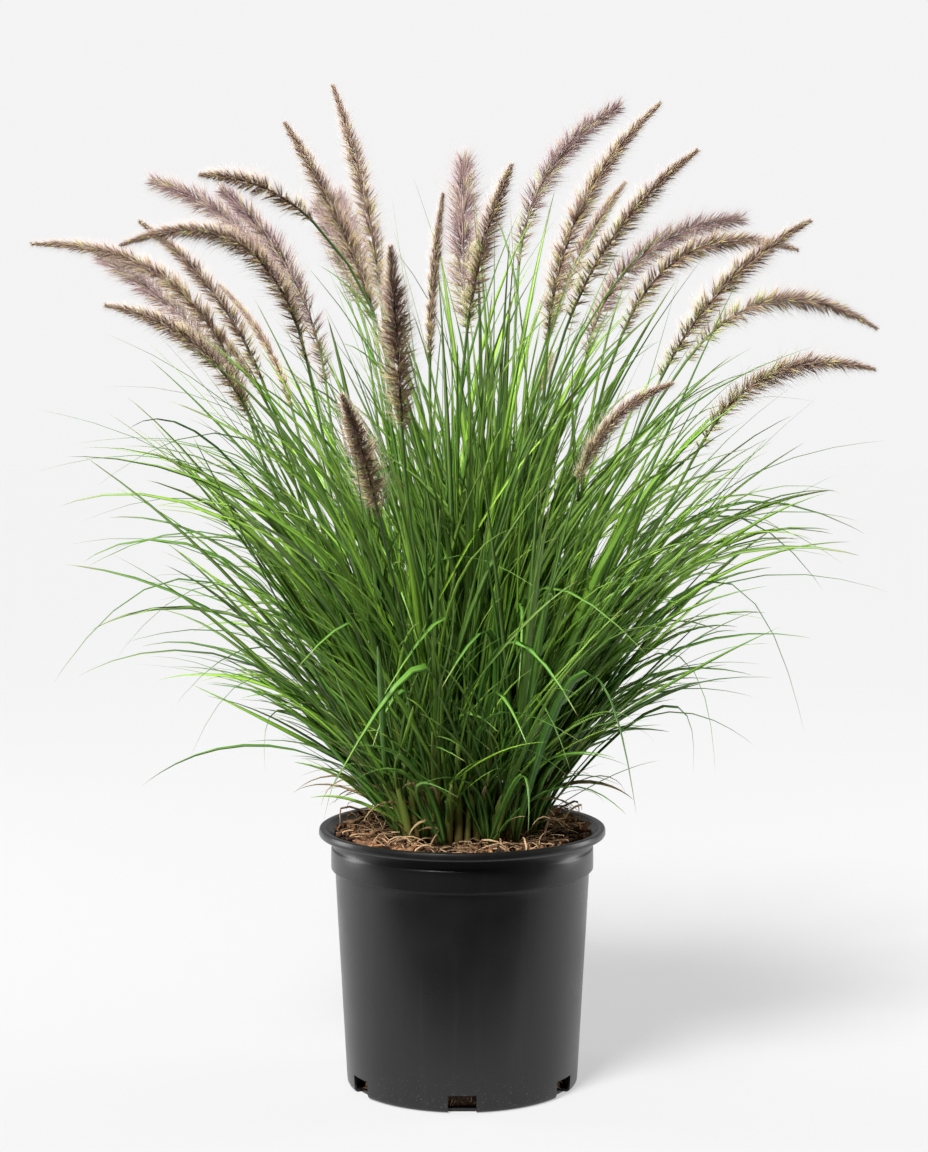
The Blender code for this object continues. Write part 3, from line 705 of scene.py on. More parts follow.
# Furthest that a leaf may reach from the middle: axis, its sign and how far
REACHES = ((0, 1.0, 0.375), (0, -1.0, 0.375), (1, -1.0, 0.330), (1, 1.0, 0.325), (2, 1.0, 0.88))
LEAST_ROOM = 0.05
GREEN, SHEATH, DRY = 0, 1, 2
# A short leaf low on the sheath, and a dry one that curls down: material, chance, droops and lengths
LOW_LEAVES = ((GREEN, 0.6, (8.0, 40.0), (0.07, 0.15)), (DRY, 0.6, (30.0, 120.0), (0.05, 0.12)))
# A leaf's half width and height, a keeled strip that is widest a third of the way up and long drawn out
LEAF_PROFILE = [
    (1.00, 0.00), (1.02, 0.05), (1.18, 0.12), (1.36, 0.21), (1.42, 0.31), (1.38, 0.42), (1.25, 0.53),
    (1.06, 0.64), (0.83, 0.74), (0.60, 0.83), (0.38, 0.905), (0.19, 0.965),
]
LEAF_WIDEST = 1.42
LEAF_POINT = 0.035


def draw_to_point(rise):
    """Extrude the selected end face and close it to a point."""
    bpy.ops.mesh.extrude_region_move(TRANSFORM_OT_translate={"value": (0.0, 0.0, rise)})
    bpy.ops.mesh.merge(type="CENTER")


# One leaf: its two edges are raised and its middle is folded down into a keel
leaf = open_disc(4, 1.0)
pick(leaf, lambda co: abs(co.x) < 0.1)
bpy.ops.transform.resize(value=(1.0, 0.07, 1.0))
bpy.ops.transform.translate(value=(0.0, -0.20, 0.0))
pick(leaf, lambda co: abs(co.x) > 0.9)
bpy.ops.transform.translate(value=(0.0, 0.16, 0.0))
bpy.ops.mesh.select_all(action="SELECT")
grow_rings(ring_steps(LEAF_PROFILE))
draw_to_point(LEAF_POINT)
bpy.ops.mesh.select_all(action="SELECT")
bpy.ops.transform.resize(value=(1 / LEAF_WIDEST, 1 / LEAF_WIDEST, 1.0))
close_tube()
leaf_shape = take_shape(leaf)

# One sheath: a flattened stalk, a little swollen at the foot
sheath = open_disc(6, 1.0)
bpy.ops.transform.resize(value=(1.0, 0.62, 1.0))
grow_rings([(1.06, 0.08), (0.97, 0.17), (0.95, 0.25), (0.86, 0.25), (0.62, 0.15), (0.30, 0.10)])
close_tube()
sheath_shape = take_shape(sheath)


def root_of(node):
    """Where a grown node stands in the crown: the middle of its lowest points."""
    points = np.array([vert.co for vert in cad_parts[node].data.vertices])
    return points[points[:, 2] < points[:, 2].min() + 0.0005].mean(axis=0)


def bezier(controls, along):
    """Points and directions on many cubic curves: controls is copies x 4 x 3, along is rows."""
    t = along[None, :, None]
    a, b, c, d = (controls[:, index, None, :] for index in range(4))
    spots = a * (1 - t) ** 3 + b * 3 * t * (1 - t) ** 2 + c * 3 * t * t * (1 - t) + d * t ** 3
    slopes = (b - a) * (1 - t) ** 2 + (c - b) * 2 * t * (1 - t) + (d - c) * t * t
    return spots, unit(slopes)


def curve_through(start, pull, finish):
    """The cubic curve that bends from start to finish towards pull."""
    return [start, start + (pull - start) * 2 / 3, finish + (pull - finish) * 2 / 3, finish]


def frames_along(tangents, hints, twists):
    """Side and upper directions of each row, twisting by (start, end) angles along the path."""
    side = unit(hints[:, None, :] - tangents * np.sum(tangents * hints[:, None, :], axis=2, keepdims=True))
    share = np.linspace(0.0, 1.0, tangents.shape[1])[None, :]
    angle = twists[:, 0:1] + (twists[:, 1:2] - twists[:, 0:1]) * share
    return turned_about(side, np.cross(tangents, side), angle)


def flat(angle):
    return np.stack((np.cos(angle), np.sin(angle), np.zeros_like(angle)), axis=-1)


# Leaf skin: fine long veins, a pale midrib, a grey-green under side and leaves of a cooler green
leaf_group, taken, given = new_group(
    "leaf_skin",
    {"Map": "Vector", "Tone": "Float", "Shade": "Float", "Deep": "Color", "Bright": "Color", "Rib": "Color",
     "Cool": "Color", "Back": "Color"},
    {"Colour": "Color", "Height": "Float"})
tree = leaf_group
mapped = along_axis(tree, taken["Map"], "X")
up = along_axis(tree, taken["Map"], "Y")
behind = maths(tree, "GREATER_THAN", mapped, 1.5)
across = maths(tree, "SUBTRACT", mapped, maths(tree, "MULTIPLY", behind, 2.0))
veins = maths(tree, "SINE", maths(tree, "MULTIPLY", across, 62.0))
uneven = noise(tree, taken["Map"], 9.0, 3.0, stretch=(0.6, 1.6, 1.0))
# Painted shade and light: the foot of a leaf, deep in the clump, is painted darker as if in shade, and its end
# is painted brighter as if in sun. The Shade input sets how much of this a material takes.
tone_with_painted_shade_and_light = maths(tree, "ADD", spread(tree, up, 0.02, 0.40, -0.92, 0.0), spread(tree, up, 0.40, 1.0, 0.0, 0.28))
tone_with_painted_shade_and_light = maths(tree, "ADD", maths(tree, "MULTIPLY", tone_with_painted_shade_and_light, taken["Shade"]), 1.0)
tone_with_painted_shade_and_light = maths(tree, "MULTIPLY", tone_with_painted_shade_and_light, taken["Tone"])
# Which leaves are cool is drawn from the tone's later digits
own = maths(tree, "FRACT", maths(tree, "MULTIPLY", taken["Tone"], 7.31))
offset = maths(tree, "ABSOLUTE", maths(tree, "SUBTRACT", across, 0.5))
midrib = spread(tree, offset, 0.02, 0.08, 0.34, 0.0)
colour = mix_colour(tree, tone_with_painted_shade_and_light, taken["Deep"], taken["Bright"])
# Mixed in over the tone, in turn: a pale wash towards the tip, which is painted light standing for sheen and
# light shining through the blade; uneven bright patches; veins; cool leaves; the under side; and the midrib
for share, other in (
        (spread(tree, up, 0.30, 1.0, 0.0, 0.34), "Rib"),
        (spread(tree, uneven, 0.35, 0.70, 0.0, 0.13), "Bright"),
        (spread(tree, veins, -1.0, 1.0, 0.0, 0.07), "Rib"), (spread(tree, own, 0.40, 1.0, 0.0, 0.75), "Cool"),
        (maths(tree, "MULTIPLY", behind, 0.20), "Back"), (midrib, "Rib")):
    colour = mix_colour(tree, share, colour, taken[other])
wire(tree, colour, given["Colour"])
ribbed = maths(tree, "ADD", spread(tree, veins, -1.0, 1.0), maths(tree, "MULTIPLY", midrib, 2.0))
wire(tree, ribbed, given["Height"])


def chart_of(tree):
    """The piece's own map: across and up."""
    return add_node(tree, "UVMap", uv_map="along").outputs["UV"]


def leafy(name, colours, roughness, foot=None, tip=None, shade=0.0):
    """A leaf-skin material of five colours: deep, bright, rib, cool and back. It fades to a foot colour
    by a share of its length, and to a tip colour between two shares."""
    material, tree, shader = new_material(name, roughness, 0.22)
    chart = chart_of(tree)
    up = along_axis(tree, chart, "Y")
    tone = tone_of(tree)
    wires = {"Map": chart, "Tone": tone, "Shade": shade}
    wires.update(zip(("Deep", "Bright", "Rib", "Cool", "Back"), colours))
    skin = add_node(tree, "Group", wires, node_tree=leaf_group).outputs
    colour = skin["Colour"]
    if foot is not None:
        colour = mix_colour(tree, spread(tree, up, 0.0, foot[1], 1.0, 0.0), colour, foot[0])
    if tip is not None:
        dry = spread(tree, tone, 0.35, 0.60, 1.0, 0.15)
        fade = maths(tree, "MULTIPLY", spread(tree, up, tip[1], tip[2]), dry)
        colour = mix_colour(tree, fade, colour, tip[0])
    wire(tree, colour, shader.inputs["Base Color"])
    add_bump(tree, shader, skin["Height"], 0.25, 0.0004)
    return material


# The green leaf takes the full painted shade and light along its length (shade=1.0). Sheaths and culms take
# none.
green_leaf = leafy(
    "green_leaf",
    ((0.002, 0.028, 0.001), (0.345, 0.655, 0.030), (0.460, 0.700, 0.195), (0.034, 0.160, 0.026),
     (0.170, 0.330, 0.070)),
    0.34, foot=((0.060, 0.110, 0.020), 0.10), tip=((0.300, 0.270, 0.110), 0.90, 1.0), shade=1.0)
pale_sheath = leafy(
    "leaf_sheath",
    ((0.035, 0.085, 0.008), (0.290, 0.400, 0.065), (0.360, 0.440, 0.120), (0.090, 0.160, 0.030),
     (0.150, 0.210, 0.050)),
    0.42, foot=((0.210, 0.140, 0.055), 0.42))
dry_leaf = leafy(
    "dry_leaf",
    ((0.130, 0.070, 0.026), (0.560, 0.400, 0.190), (0.640, 0.480, 0.260), (0.300, 0.190, 0.085),
     (0.420, 0.300, 0.160)),
    0.65)


def arcs(starts, azimuths, drifts, leans, droops, powers, lengths, rows):
    """Paths that leave at a lean from upright and bow over by droop, most of it near the tip."""

    def directions(along):
        lean = leans[:, None] + droops[:, None] * along[None, :] ** powers[:, None]
        heading = azimuths[:, None] + drifts[:, None] * along[None, :]
        return flat(heading) * np.sin(lean)[..., None] + UP * np.cos(lean)[..., None]

    moves = directions((rows[1:] + rows[:-1]) / 2) * np.diff(rows)[None, :, None]
    spots = np.concatenate((np.zeros((len(starts), 1, 3)), np.cumsum(moves, axis=1)), axis=1)
    room = np.ones(len(starts))
    for axis, sign, limit in REACHES:
        gone = np.maximum((sign * spots[..., axis] * lengths[:, None]).max(axis=1), 1e-6)
        room = np.minimum(room, np.maximum(limit - sign * starts[:, axis], LEAST_ROOM) / gone)
    lengths = lengths * room
    return starts[:, None] + spots * lengths[:, None, None], directions(rows), lengths


def lay_leaves(growth, spots, tangents, azimuths, width, tones, slot, turn=(0.35, 1.5)):
    """Bend leaves along paths, each turning a little about its own length."""
    rng = growth.rng
    count = len(spots)
    hints = unit(np.cross(UP, flat(azimuths)) + 0.22 * rng.normal(0.0, 1.0, (count, 3)))
    twists = np.stack((rng.normal(0.0, turn[0], count), rng.normal(0.0, turn[1], count)), axis=1)
    side, upper = frames_along(tangents, hints, twists)
    growth.add(leaf_shape, along_paths(leaf_shape, spots, side, upper, width * 0.5), tones, slot)


def add_leaves(growth, starts, azimuths, leans, droops, lengths, tones, breadth=1.0, slot=GREEN):
    """Lay one leaf from each start."""
    rng = growth.rng
    count = len(starts)
    drifts = rng.normal(0.0, LEAF_DRIFT, count)
    powers = rng.uniform(*LEAF_POWERS, count)
    spots, tangents, lengths = arcs(
        starts, azimuths, drifts, leans, droops, powers, lengths, leaf_shape["rows"])
    width = np.array(LEAF_WIDTHS)[rng.choice(3, count, p=LEAF_SHARES)] * rng.uniform(0.8, 1.1, count)
    tones = tones * np.where(width > BROAD_FROM, BROAD_TONE, 1.0)
    width *= np.clip(lengths / FULL_WIDTH_LENGTH, 0.62, 1.0) * breadth
    lay_leaves(growth, spots, tangents, azimuths, width, tones, slot)


def points_along(spots, rows, shares):
    """Places at shares of the way along one path."""
    return np.stack([np.interp(shares, rows, spots[:, axis]) for axis in range(3)], axis=1)


def add_tiller(growth, root, azimuth, habit):
    """One tiller: a flat sheath, and leaves that leave it alternately left and right."""
    rng = growth.rng
    # Those that lean to the front stand up more, clear of the rim
    calm = 1.0 - 0.25 * max(0.0, -math.sin(azimuth))
    lean = math.radians(min(max(1.0, rng.normal(*habit["lean"])), MOST_LEAN)) * calm
    tall = rng.uniform() < TALL_CHANCE
    stalk = rng.uniform(*(TALL_STALKS if tall else SHORT_STALKS))
    rows = sheath_shape["rows"] / sheath_shape["rows"][-1]
    bow = (np.array([value]) for value in (azimuth, 0.0, lean * 0.45, lean * 0.55, 1.0, stalk))
    spots, tangents, _ = arcs(root[None], *bow, rows)
    hint = np.cross(UP, flat(np.array(azimuth)))[None]
    side, upper = frames_along(tangents, hint, np.array([[rng.normal(0.0, 0.5)] * 2]))
    stalks = [(0.0, 1.0)]
    if rng.uniform() < TWIN_CHANCE:
        stalks.append((rng.choice([-1.0, 1.0]) * rng.uniform(*TWIN_BESIDE), rng.uniform(0.6, 0.85)))
    for beside, share in stalks:
        half_width = np.array([rng.uniform(*SHEATH_HALF_WIDTHS) * share * (0.7 if tall else 1.0)])
        stem = along_paths(sheath_shape, spots + side * beside, side, upper, half_width)
        growth.add(sheath_shape, stem, rng.uniform(0.0, 1.0), SHEATH)

    count = habit["leaves"]
    short, long = habit["lengths"]
    order = np.arange(count)
    share = 0.34 + 0.66 * order / (count - 1)
    starts = points_along(spots[0], rows, share)
    sign = np.where(order % 2 == 0, 1.0, -1.0)
    azimuths = azimuth + sign * np.radians(rng.uniform(0.0, 52.0, count)) * (1.0 + 1.2 * (lean < 0.2))
    leans = lean * (0.45 + 0.55 * share) + np.radians(rng.uniform(-8.0, 14.0, count)) * calm
    droops = np.radians(rng.uniform(*habit["droops"], count)) * calm
    lengths = short + (long - short) * rng.uniform(0.0, 1.0, count) ** 1.2
    lengths = lengths * (0.80 + 0.20 * share) * (0.8 if tall else 1.0)
    tone = np.clip(rng.uniform(0.0, 1.0, count) ** 1.7 + rng.normal(0.0, 0.14), 0.0, 1.0)
    add_leaves(growth, starts, azimuths, leans, droops, lengths, tone)

    for slot, chance, droops, lengths in LOW_LEAVES:
        if rng.uniform() < chance:
            shares = rng.uniform(0.15, 0.5, 3)
            low = np.array([[np.interp(share, rows, spots[0, :, axis]) for axis, share in enumerate(shares)]])
            heading = azimuth + rng.normal(0.0, 0.6, 1)
            low_lean = np.minimum(lean + np.radians(rng.uniform(5.0, 30.0, 1)), 1.0)
            droop = np.radians(rng.uniform(*droops, 1))
            length = rng.uniform(*lengths, 1)
            add_leaves(growth, low, heading, low_lean, droop, length, rng.uniform(0.0, 1.0, 1), 0.8, slot)


# Leaves that stand out one by one, in millimetres: shoot, where the leaf bends, its tip and its width
SINGLE_LEAVES = [
    (7, (-270, 0, 610), (-410, 0, 660), 4.6), (7, (-300, 0, 615), (-410, 0, 600), 4.0),
    (8, (-260, -50, 635), (-340, -100, 590), 4.0), (18, (-260, 50, 530), (-350, 100, 580), 5.0),
    (8, (-270, 0, 575), (-360, -50, 555), 4.4), (18, (-280, 0, 530), (-390, 50, 525), 4.0),
    (8, (-260, -50, 545), (-350, -100, 515), 5.0), (19, (-300, -20, 490), (-390, -50, 400), 6.0),
    (27, (-260, 20, 485), (-345, 50, 410), 5.0), (18, (-220, 50, 460), (-330, 100, 485), 5.0),
    (20, (-230, -80, 455), (-315, -100, 445), 8.0), (27, (-220, 50, 400), (-290, 100, 410), 5.0),
    (20, (-210, -80, 435), (-265, -120, 390), 6.0), (19, (-215, -80, 400), (-255, -100, 335), 4.5),
    (20, (-180, -100, 375), (-180, -150, 330), 4.5), (5, (-255, 20, 685), (-355, 50, 735), 4.2),
    (8, (-235, -30, 670), (-290, -50, 735), 4.4), (18, (-255, 50, 670), (-360, 100, 680), 3.4),
    (7, (-255, 20, 625), (-380, 50, 625), 4.4), (13, (310, 0, 610), (410, 0, 630), 5.0),
    (13, (290, 20, 570), (400, 50, 535), 5.0), (24, (300, 0, 500), (410, -20, 485), 5.0),
    (23, (265, -50, 490), (320, -100, 360), 6.0), (24, (280, 50, 550), (365, 100, 475), 5.0),
    (12, (275, 0, 555), (370, 0, 510), 4.5), (23, (205, -80, 420), (280, -100, 425), 7.0),
    (23, (225, -50, 370), (280, -50, 340), 6.0), (22, (215, -90, 420), (235, -120, 325), 5.0),
    (24, (220, 20, 360), (230, 50, 295), 4.5), (13, (200, 0, 665), (280, 0, 720), 4.6),
    (12, (225, -30, 670), (330, -50, 720), 4.6), (13, (250, 0, 625), (325, 20, 685), 5.2),
    (4, (185, 20, 700), (215, 50, 800), 5.2), (14, (280, 50, 670), (355, 100, 665), 3.6),
    (1, (-20, -10, 800), (-50, -20, 890), 4.0), (3, (-60, 20, 810), (-70, 50, 875), 3.4),
    (1, (-35, 0, 720), (-70, 0, 845), 4.4), (5, (-90, -30, 720), (-150, -50, 800), 4.2),
    (5, (-140, 20, 735), (-165, 50, 825), 3.8), (5, (-115, -50, 675), (-180, -100, 730), 4.4),
    (2, (50, 0, 780), (45, 0, 865), 4.4), (2, (5, -30, 705), (55, -50, 850), 4.8),
    (3, (30, 20, 740), (95, 50, 850), 4.2), (2, (85, 0, 775), (85, -30, 840), 4.2),
    (4, (125, 50, 755), (160, 100, 825), 4.0), (14, (135, 50, 695), (195, 100, 725), 3.8),
    (11, (125, -200, 420), (155, -220, 305), 8.5), (10, (60, -190, 450), (105, -240, 390), 8.0),
    (9, (-45, -190, 430), (-115, -220, 330), 9.0), (10, (15, -160, 460), (-20, -220, 415), 8.5),
    (22, (40, -170, 400), (60, -200, 360), 8.0), (22, (60, -150, 320), (60, -165, 275), 5.5),
    (22, (35, -140, 385), (110, -200, 365), 7.5), (21, (-60, -130, 345), (-110, -190, 360), 7.0),
    (11, (90, -150, 500), (170, -200, 440), 7.0), (9, (-100, -140, 470), (-150, -200, 430), 7.5),
    (21, (-40, -120, 315), (0, -170, 310), 5.5), (22, (80, -100, 335), (140, -150, 345), 6.5),
    (10, (0, -140, 530), (75, -200, 500), 6.5), (9, (-70, -120, 530), (-35, -180, 440), 6.0),
    (23, (135, -20, 355), (206, -30, 383), 8.5), (24, (130, 30, 335), (206, 40, 340), 8.5),
    (23, (105, -70, 315), (148, -100, 311), 7.5), (22, (100, -100, 310), (151, -150, 292), 7.0),
    (23, (190, -50, 390), (293, -80, 410), 7.0), (24, (200, 40, 400), (290, 50, 395), 7.0),
    (24, (190, 0, 385), (286, 0, 380), 6.5), (23, (130, -40, 345), (190, -60, 362), 8.0),
    (19, (-135, -10, 350), (-203, -20, 373), 8.5), (20, (-130, -50, 335), (-203, -80, 349), 8.5),
    (20, (-110, -60, 320), (-162, -90, 337), 8.0), (19, (-110, 20, 305), (-161, 30, 315), 8.0),
    (21, (-90, -70, 300), (-127, -100, 291), 6.5), (19, (-160, -30, 375), (-245, -50, 400), 7.5),
    (20, (-180, -40, 395), (-278, -60, 418), 6.5), (19, (-140, -30, 365), (-215, -50, 385), 8.0),
    (21, (-68, -110, 328), (-100, -140, 322), 6.0), (22, (0, -110, 318), (-45, -150, 318), 5.5),
    (21, (-35, -110, 350), (5, -150, 340), 6.0), (22, (50, -110, 348), (100, -150, 325), 7.0),
    (22, (-5, -120, 370), (30, -150, 348), 5.5), (21, (0, -100, 378), (35, -160, 368), 6.0),
    (23, (105, -100, 340), (155, -140, 335), 7.0), (20, (-110, -70, 325), (-131, -85, 272), 3.0),
    (22, (70, -120, 395), (100, -160, 330), 6.0), (21, (-60, -120, 400), (-85, -160, 345), 6.0),
    (9, (-20, -130, 470), (-75, -190, 400), 7.5), (10, (55, -130, 480), (50, -200, 410), 7.0),
]
SINGLE_TONES = (0.27, 0.41, 0.54, 0.68)


def add_single_leaves(growth, root, rows):
    """Lay a leaf from the root through the place where it bends to its tip, for each row."""
    curves = []
    for _, bend, tip, _ in rows:
        bend = np.array(bend) / 1000
        tip = np.array(tip) / 1000
        share = np.linalg.norm(bend - root) / (np.linalg.norm(bend - root) + np.linalg.norm(tip - bend))
        pull = (bend - root * (1 - share) ** 2 - tip * share ** 2) / (2 * share * (1 - share))
        curves.append(curve_through(root, pull, tip))
    curves = np.array(curves)
    spots, tangents = bezier(curves, leaf_shape["rows"])
    azimuths = np.arctan2(curves[:, 3, 1] - root[1], curves[:, 3, 0] - root[0])
    widths = np.array([row[3] for row in rows]) * 0.001
    tones = growth.rng.choice(SINGLE_TONES, len(rows))
    lay_leaves(growth, spots, tangents, azimuths, widths, tones, GREEN, turn=(0.25, 0.5))


shoots = [(angle, habit) for habit in HABITS for angle in habit["angles"]]
for index, (angle, habit) in enumerate(shoots):
    number = index + 1
    node = "leaf_shoot_%02d" % number
    root = root_of(node)
    growth = Growth(300 + index)
    rng = growth.rng
    for tiller in range(habit["tillers"]):
        offset = flat(np.array(rng.uniform(0.0, math.tau)))
        offset = offset * (0.0 if tiller == 0 else rng.uniform(*TILLER_OFFSETS)) - root * DRAWN_IN
        add_tiller(growth, root + offset, math.radians(angle + rng.normal(0.0, habit["fan"])), habit)
    single = [row for row in SINGLE_LEAVES if row[0] == number]
    if single:
        add_single_leaves(growth, root, single)
    shoot = growth.join("grass_shoot_%02d" % number, [green_leaf, pale_sheath, dry_leaf])
    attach(shoot, "root")
    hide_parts(node)


# Flower stems
# Each is a wiry green culm that bows out into a bottle-brush plume: hundreds of little spikelets set in
# rows round the rachis, dark purple-brown, each in a tuft of long pale bristles.

# A plume's foot, middle and tip in millimetres, and its fullness
STEM_ROWS = [
    ((-210, 10, 665), (-283, 15, 782), (-416, 20, 819), 1.0),
    ((-198, -71, 654), (-249, -96, 724), (-326, -120, 757), 0.95),
    ((-143, -91, 703), (-197, -145, 809), (-300, -200, 808), 1.0),
    ((-166, 147, 737), (-223, 214, 835), (-330, 280, 896), 1.05),
    ((-190, -31, 688), (-236, -41, 772), (-303, -50, 837), 0.85),
    ((-171, 98, 659), (-200, 119, 726), (-247, 140, 783), 0.6),
    ((-137, -91, 834), (-182, -126, 864), (-234, -160, 872), 0.9),
    ((-135, 68, 683), (-169, 94, 789), (-240, 120, 876), 1.0),
    ((-81, -29, 742), (-117, -44, 838), (-165, -60, 927), 1.0),
    ((-78, 31, 756), (-95, 41, 866), (-126, 50, 973), 0.95),
    ((-108, 160, 768), (-129, 200, 819), (-152, 240, 869), 1.0),
    ((-53, -190, 646), (-56, -245, 726), (-60, -300, 802), 1.25),
    ((-30, -80, 707), (-26, -105, 783), (-17, -130, 858), 0.7),
    ((5, 180, 733), (1, 250, 824), (2, 320, 920), 1.4),
    ((5, -100, 737), (20, -135, 812), (44, -170, 880), 1.0),
    ((56, 100, 797), (86, 150, 894), (161, 200, 967), 1.0),
    ((81, -26, 725), (111, -43, 847), (184, -60, 945), 1.0),
    ((96, -78, 735), (141, -129, 824), (208, -180, 892), 0.95),
    ((88, 44, 741), (118, 62, 815), (161, 80, 882), 0.8),
    ((126, 134, 711), (183, 217, 811), (298, 300, 857), 1.15),
    ((151, -38, 731), (214, -59, 808), (311, -80, 809), 1.0),
    ((184, -97, 691), (236, -134, 772), (310, -170, 831), 1.0),
    ((219, 43, 706), (306, 62, 765), (412, 80, 738), 1.0),
    ((222, -69, 625), (286, -94, 694), (377, -120, 699), 1.0),
    ((103, -190, 597), (130, -245, 654), (177, -300, 688), 0.85),
    ((-73, -230, 573), (-84, -295, 629), (-98, -360, 679), 1.05),
    ((-196, 39, 673), (-222, 44, 713), (-252, 50, 749), 0.55),
    ((81, 200, 674), (88, 235, 694), (97, 270, 714), 0.55),
    ((-220, 121, 672), (-287, 160, 751), (-374, 200, 812), 1.1),
    ((-97, 220, 770), (-113, 280, 827), (-136, 340, 885), 1.1),
]
LEVEL = np.array([1.0, 1.0, 0.0])
CULM_RADIUS = 0.0014
CULM_RINGS = [(1.0, 1 / 20)] * 12 + [(0.93, 1 / 20)] * 7 + [(0.5, 1 / 20)]
# Rows of the culm below the plume, and along it
CULM_ROWS = 12
PLUME_ROWS = 10
CULM_LEAVES = 4
CULM_LEAF_LENGTHS = (0.14, 0.34)
CULM_LEAF_DROOPS = (4.0, 85.0)
SPIKELET_STEP = 0.00066
SPIKELET_LENGTH = 0.0164
RACHIS_RADIUS = 0.0009
GOLDEN_ANGLE = math.radians(137.508)
# Width along a plume, foot to tip: a pointed one, and a soft one with a blunt end
POINTED = [
    (0.0, 0.50), (0.08, 0.80), (0.25, 1.00), (0.50, 1.00), (0.66, 0.88), (0.80, 0.68), (0.92, 0.44),
    (1.0, 0.18),
]
BLUNT = [(0.0, 0.45), (0.10, 0.75), (0.30, 1.00), (0.60, 1.05), (0.80, 1.00), (0.92, 0.90), (1.0, 0.68)]
# How far the spikelets stand off the rachis along a plume, and how many of them are pale
POINTED_SPLAY = [(0.0, 56.0), (0.2, 54.0), (0.7, 44.0), (1.0, 16.0)]
SOFT_SPLAY = [(0.0, 56.0), (0.2, 54.0), (0.7, 44.0), (1.0, 30.0)]
NARROW_OPENING = 0.55
PALE_SHARE = [(0.0, 0.75), (0.30, 0.40), (0.6, 0.24), (1.0, 0.20)]
# How many spikelets stay low on a plume, and how much greener a loose one is there
FULL_KEPT = [(0.0, 0.65), (0.35, 0.75), (0.6, 1.0)]
LOOSE_KEPT = [(0.0, 0.35), (0.35, 0.75), (0.6, 1.0)]
LOOSE_GREEN = [(0.0, 0.40), (0.40, 0.18), (0.65, 0.0)]
# Plumes that are soft with longer mauve hair, still narrow, or loose and green low down, by number
SOFT = (4, 8, 11, 14, 16, 20, 29, 30)
NARROW = (6, 13, 25, 27, 28)
LOOSE = (14, 15, 16, 18, 22, 23, 24)
CULM, HUSK, BRISTLE, CULM_LEAF = 0, 1, 2, 3

# One culm: a thin round stem
culm = open_disc(6, 1.0)
grow_rings(CULM_RINGS)
close_tube()
culm_shape = take_shape(culm)

# One spikelet: a small pointed spindle in a tuft of bristles, each with its splay, place round it and length
BRISTLES = [
    (0.34, 0.0, 1.05), (0.40, 0.9, 1.25), (0.28, 1.8, 1.55), (0.44, 2.7, 1.10), (0.30, 3.6, 1.40),
    (0.22, 4.5, 1.70), (0.38, 5.4, 1.20), (0.12, 0.4, 1.45),
]
BRISTLE_RADIUS = 0.0105
spikelet = open_disc(3, 0.030)
grow_rings([(1.7, 0.26), (0.78, 0.36)])
draw_to_point(0.38)
close_tube()
husk_faces = len(spikelet.data.polygons)
tuft = [spikelet]
for splay, around, long in BRISTLES:
    deselect_all()
    out = math.sin(splay)
    direction = Vector((out * math.cos(around), out * math.sin(around), math.cos(splay)))
    bpy.ops.mesh.primitive_cone_add(
        vertices=3, radius1=BRISTLE_RADIUS, radius2=0.0, depth=long, location=direction * long / 2,
        rotation=direction.to_track_quat("Z", "Y").to_euler())
    tuft.append(bpy.context.object)
join_pieces(tuft)
tuft_shape = take_shape(spikelet)
tuft_slots = np.where(np.arange(len(tuft_shape["sizes"])) < husk_faces, HUSK, BRISTLE)

green_culm = leafy(
    "green_culm",
    ((0.060, 0.140, 0.020), (0.200, 0.330, 0.060), (0.300, 0.420, 0.120), (0.090, 0.170, 0.050),
     (0.120, 0.210, 0.050)),
    0.40, tip=((0.120, 0.062, 0.040), 0.54, 0.66))


def plume_finish(name, colours, edge, fade_low, fade_high, fade_most, roughness):
    """Colour by each tuft's own tone, paler towards its tip between two heights."""
    material, tree, shader = new_material(name, roughness, 0.3)
    ramp = add_node(tree, "ValToRGB", {"Fac": tone_of(tree)})
    stops = ramp.color_ramp.elements
    while len(stops) < len(colours):
        stops.new(0.5)
    for stop, place, colour in zip(stops, (0.0, 0.40, 0.70, 1.0), colours):
        stop.position = place
        stop.color = (*colour, 1.0)
    flecks = spread(tree, noise(tree, on_piece(tree), 700.0, 2.0), 0.40, 0.70, 0.0, 0.25)
    shaded = mix_colour(tree, flecks, ramp.outputs["Color"], edge)
    fade = spread(tree, along_axis(tree, chart_of(tree), "Y"), fade_low, fade_high, 0.0, fade_most)
    wire(tree, mix_colour(tree, fade, shaded, edge), shader.inputs["Base Color"])
    return material


spikelet_husk = plume_finish(
    "spikelet_husk", [(0.240, 0.130, 0.080), (0.350, 0.215, 0.110), (0.58, 0.45, 0.19), (0.46, 0.52, 0.13)],
    (0.52, 0.40, 0.22), 0.55, 1.1, 0.5, 0.6)
pale_bristle = plume_finish(
    "pale_bristle", [(0.39, 0.245, 0.195), (0.51, 0.365, 0.275), (0.68, 0.56, 0.34), (0.58, 0.60, 0.26)],
    (0.80, 0.72, 0.69), 0.50, 1.25, 0.70, 0.55)
soft_husk = plume_finish(
    "soft_husk", [(0.150, 0.068, 0.064), (0.230, 0.125, 0.108), (0.42, 0.32, 0.16), (0.42, 0.46, 0.15)],
    (0.52, 0.36, 0.32), 0.50, 1.1, 0.6, 0.6)
soft_bristle = plume_finish(
    "soft_bristle", [(0.23, 0.122, 0.122), (0.32, 0.195, 0.180), (0.50, 0.40, 0.27), (0.54, 0.56, 0.28)],
    (0.70, 0.57, 0.56), 0.42, 1.20, 0.72, 0.55)


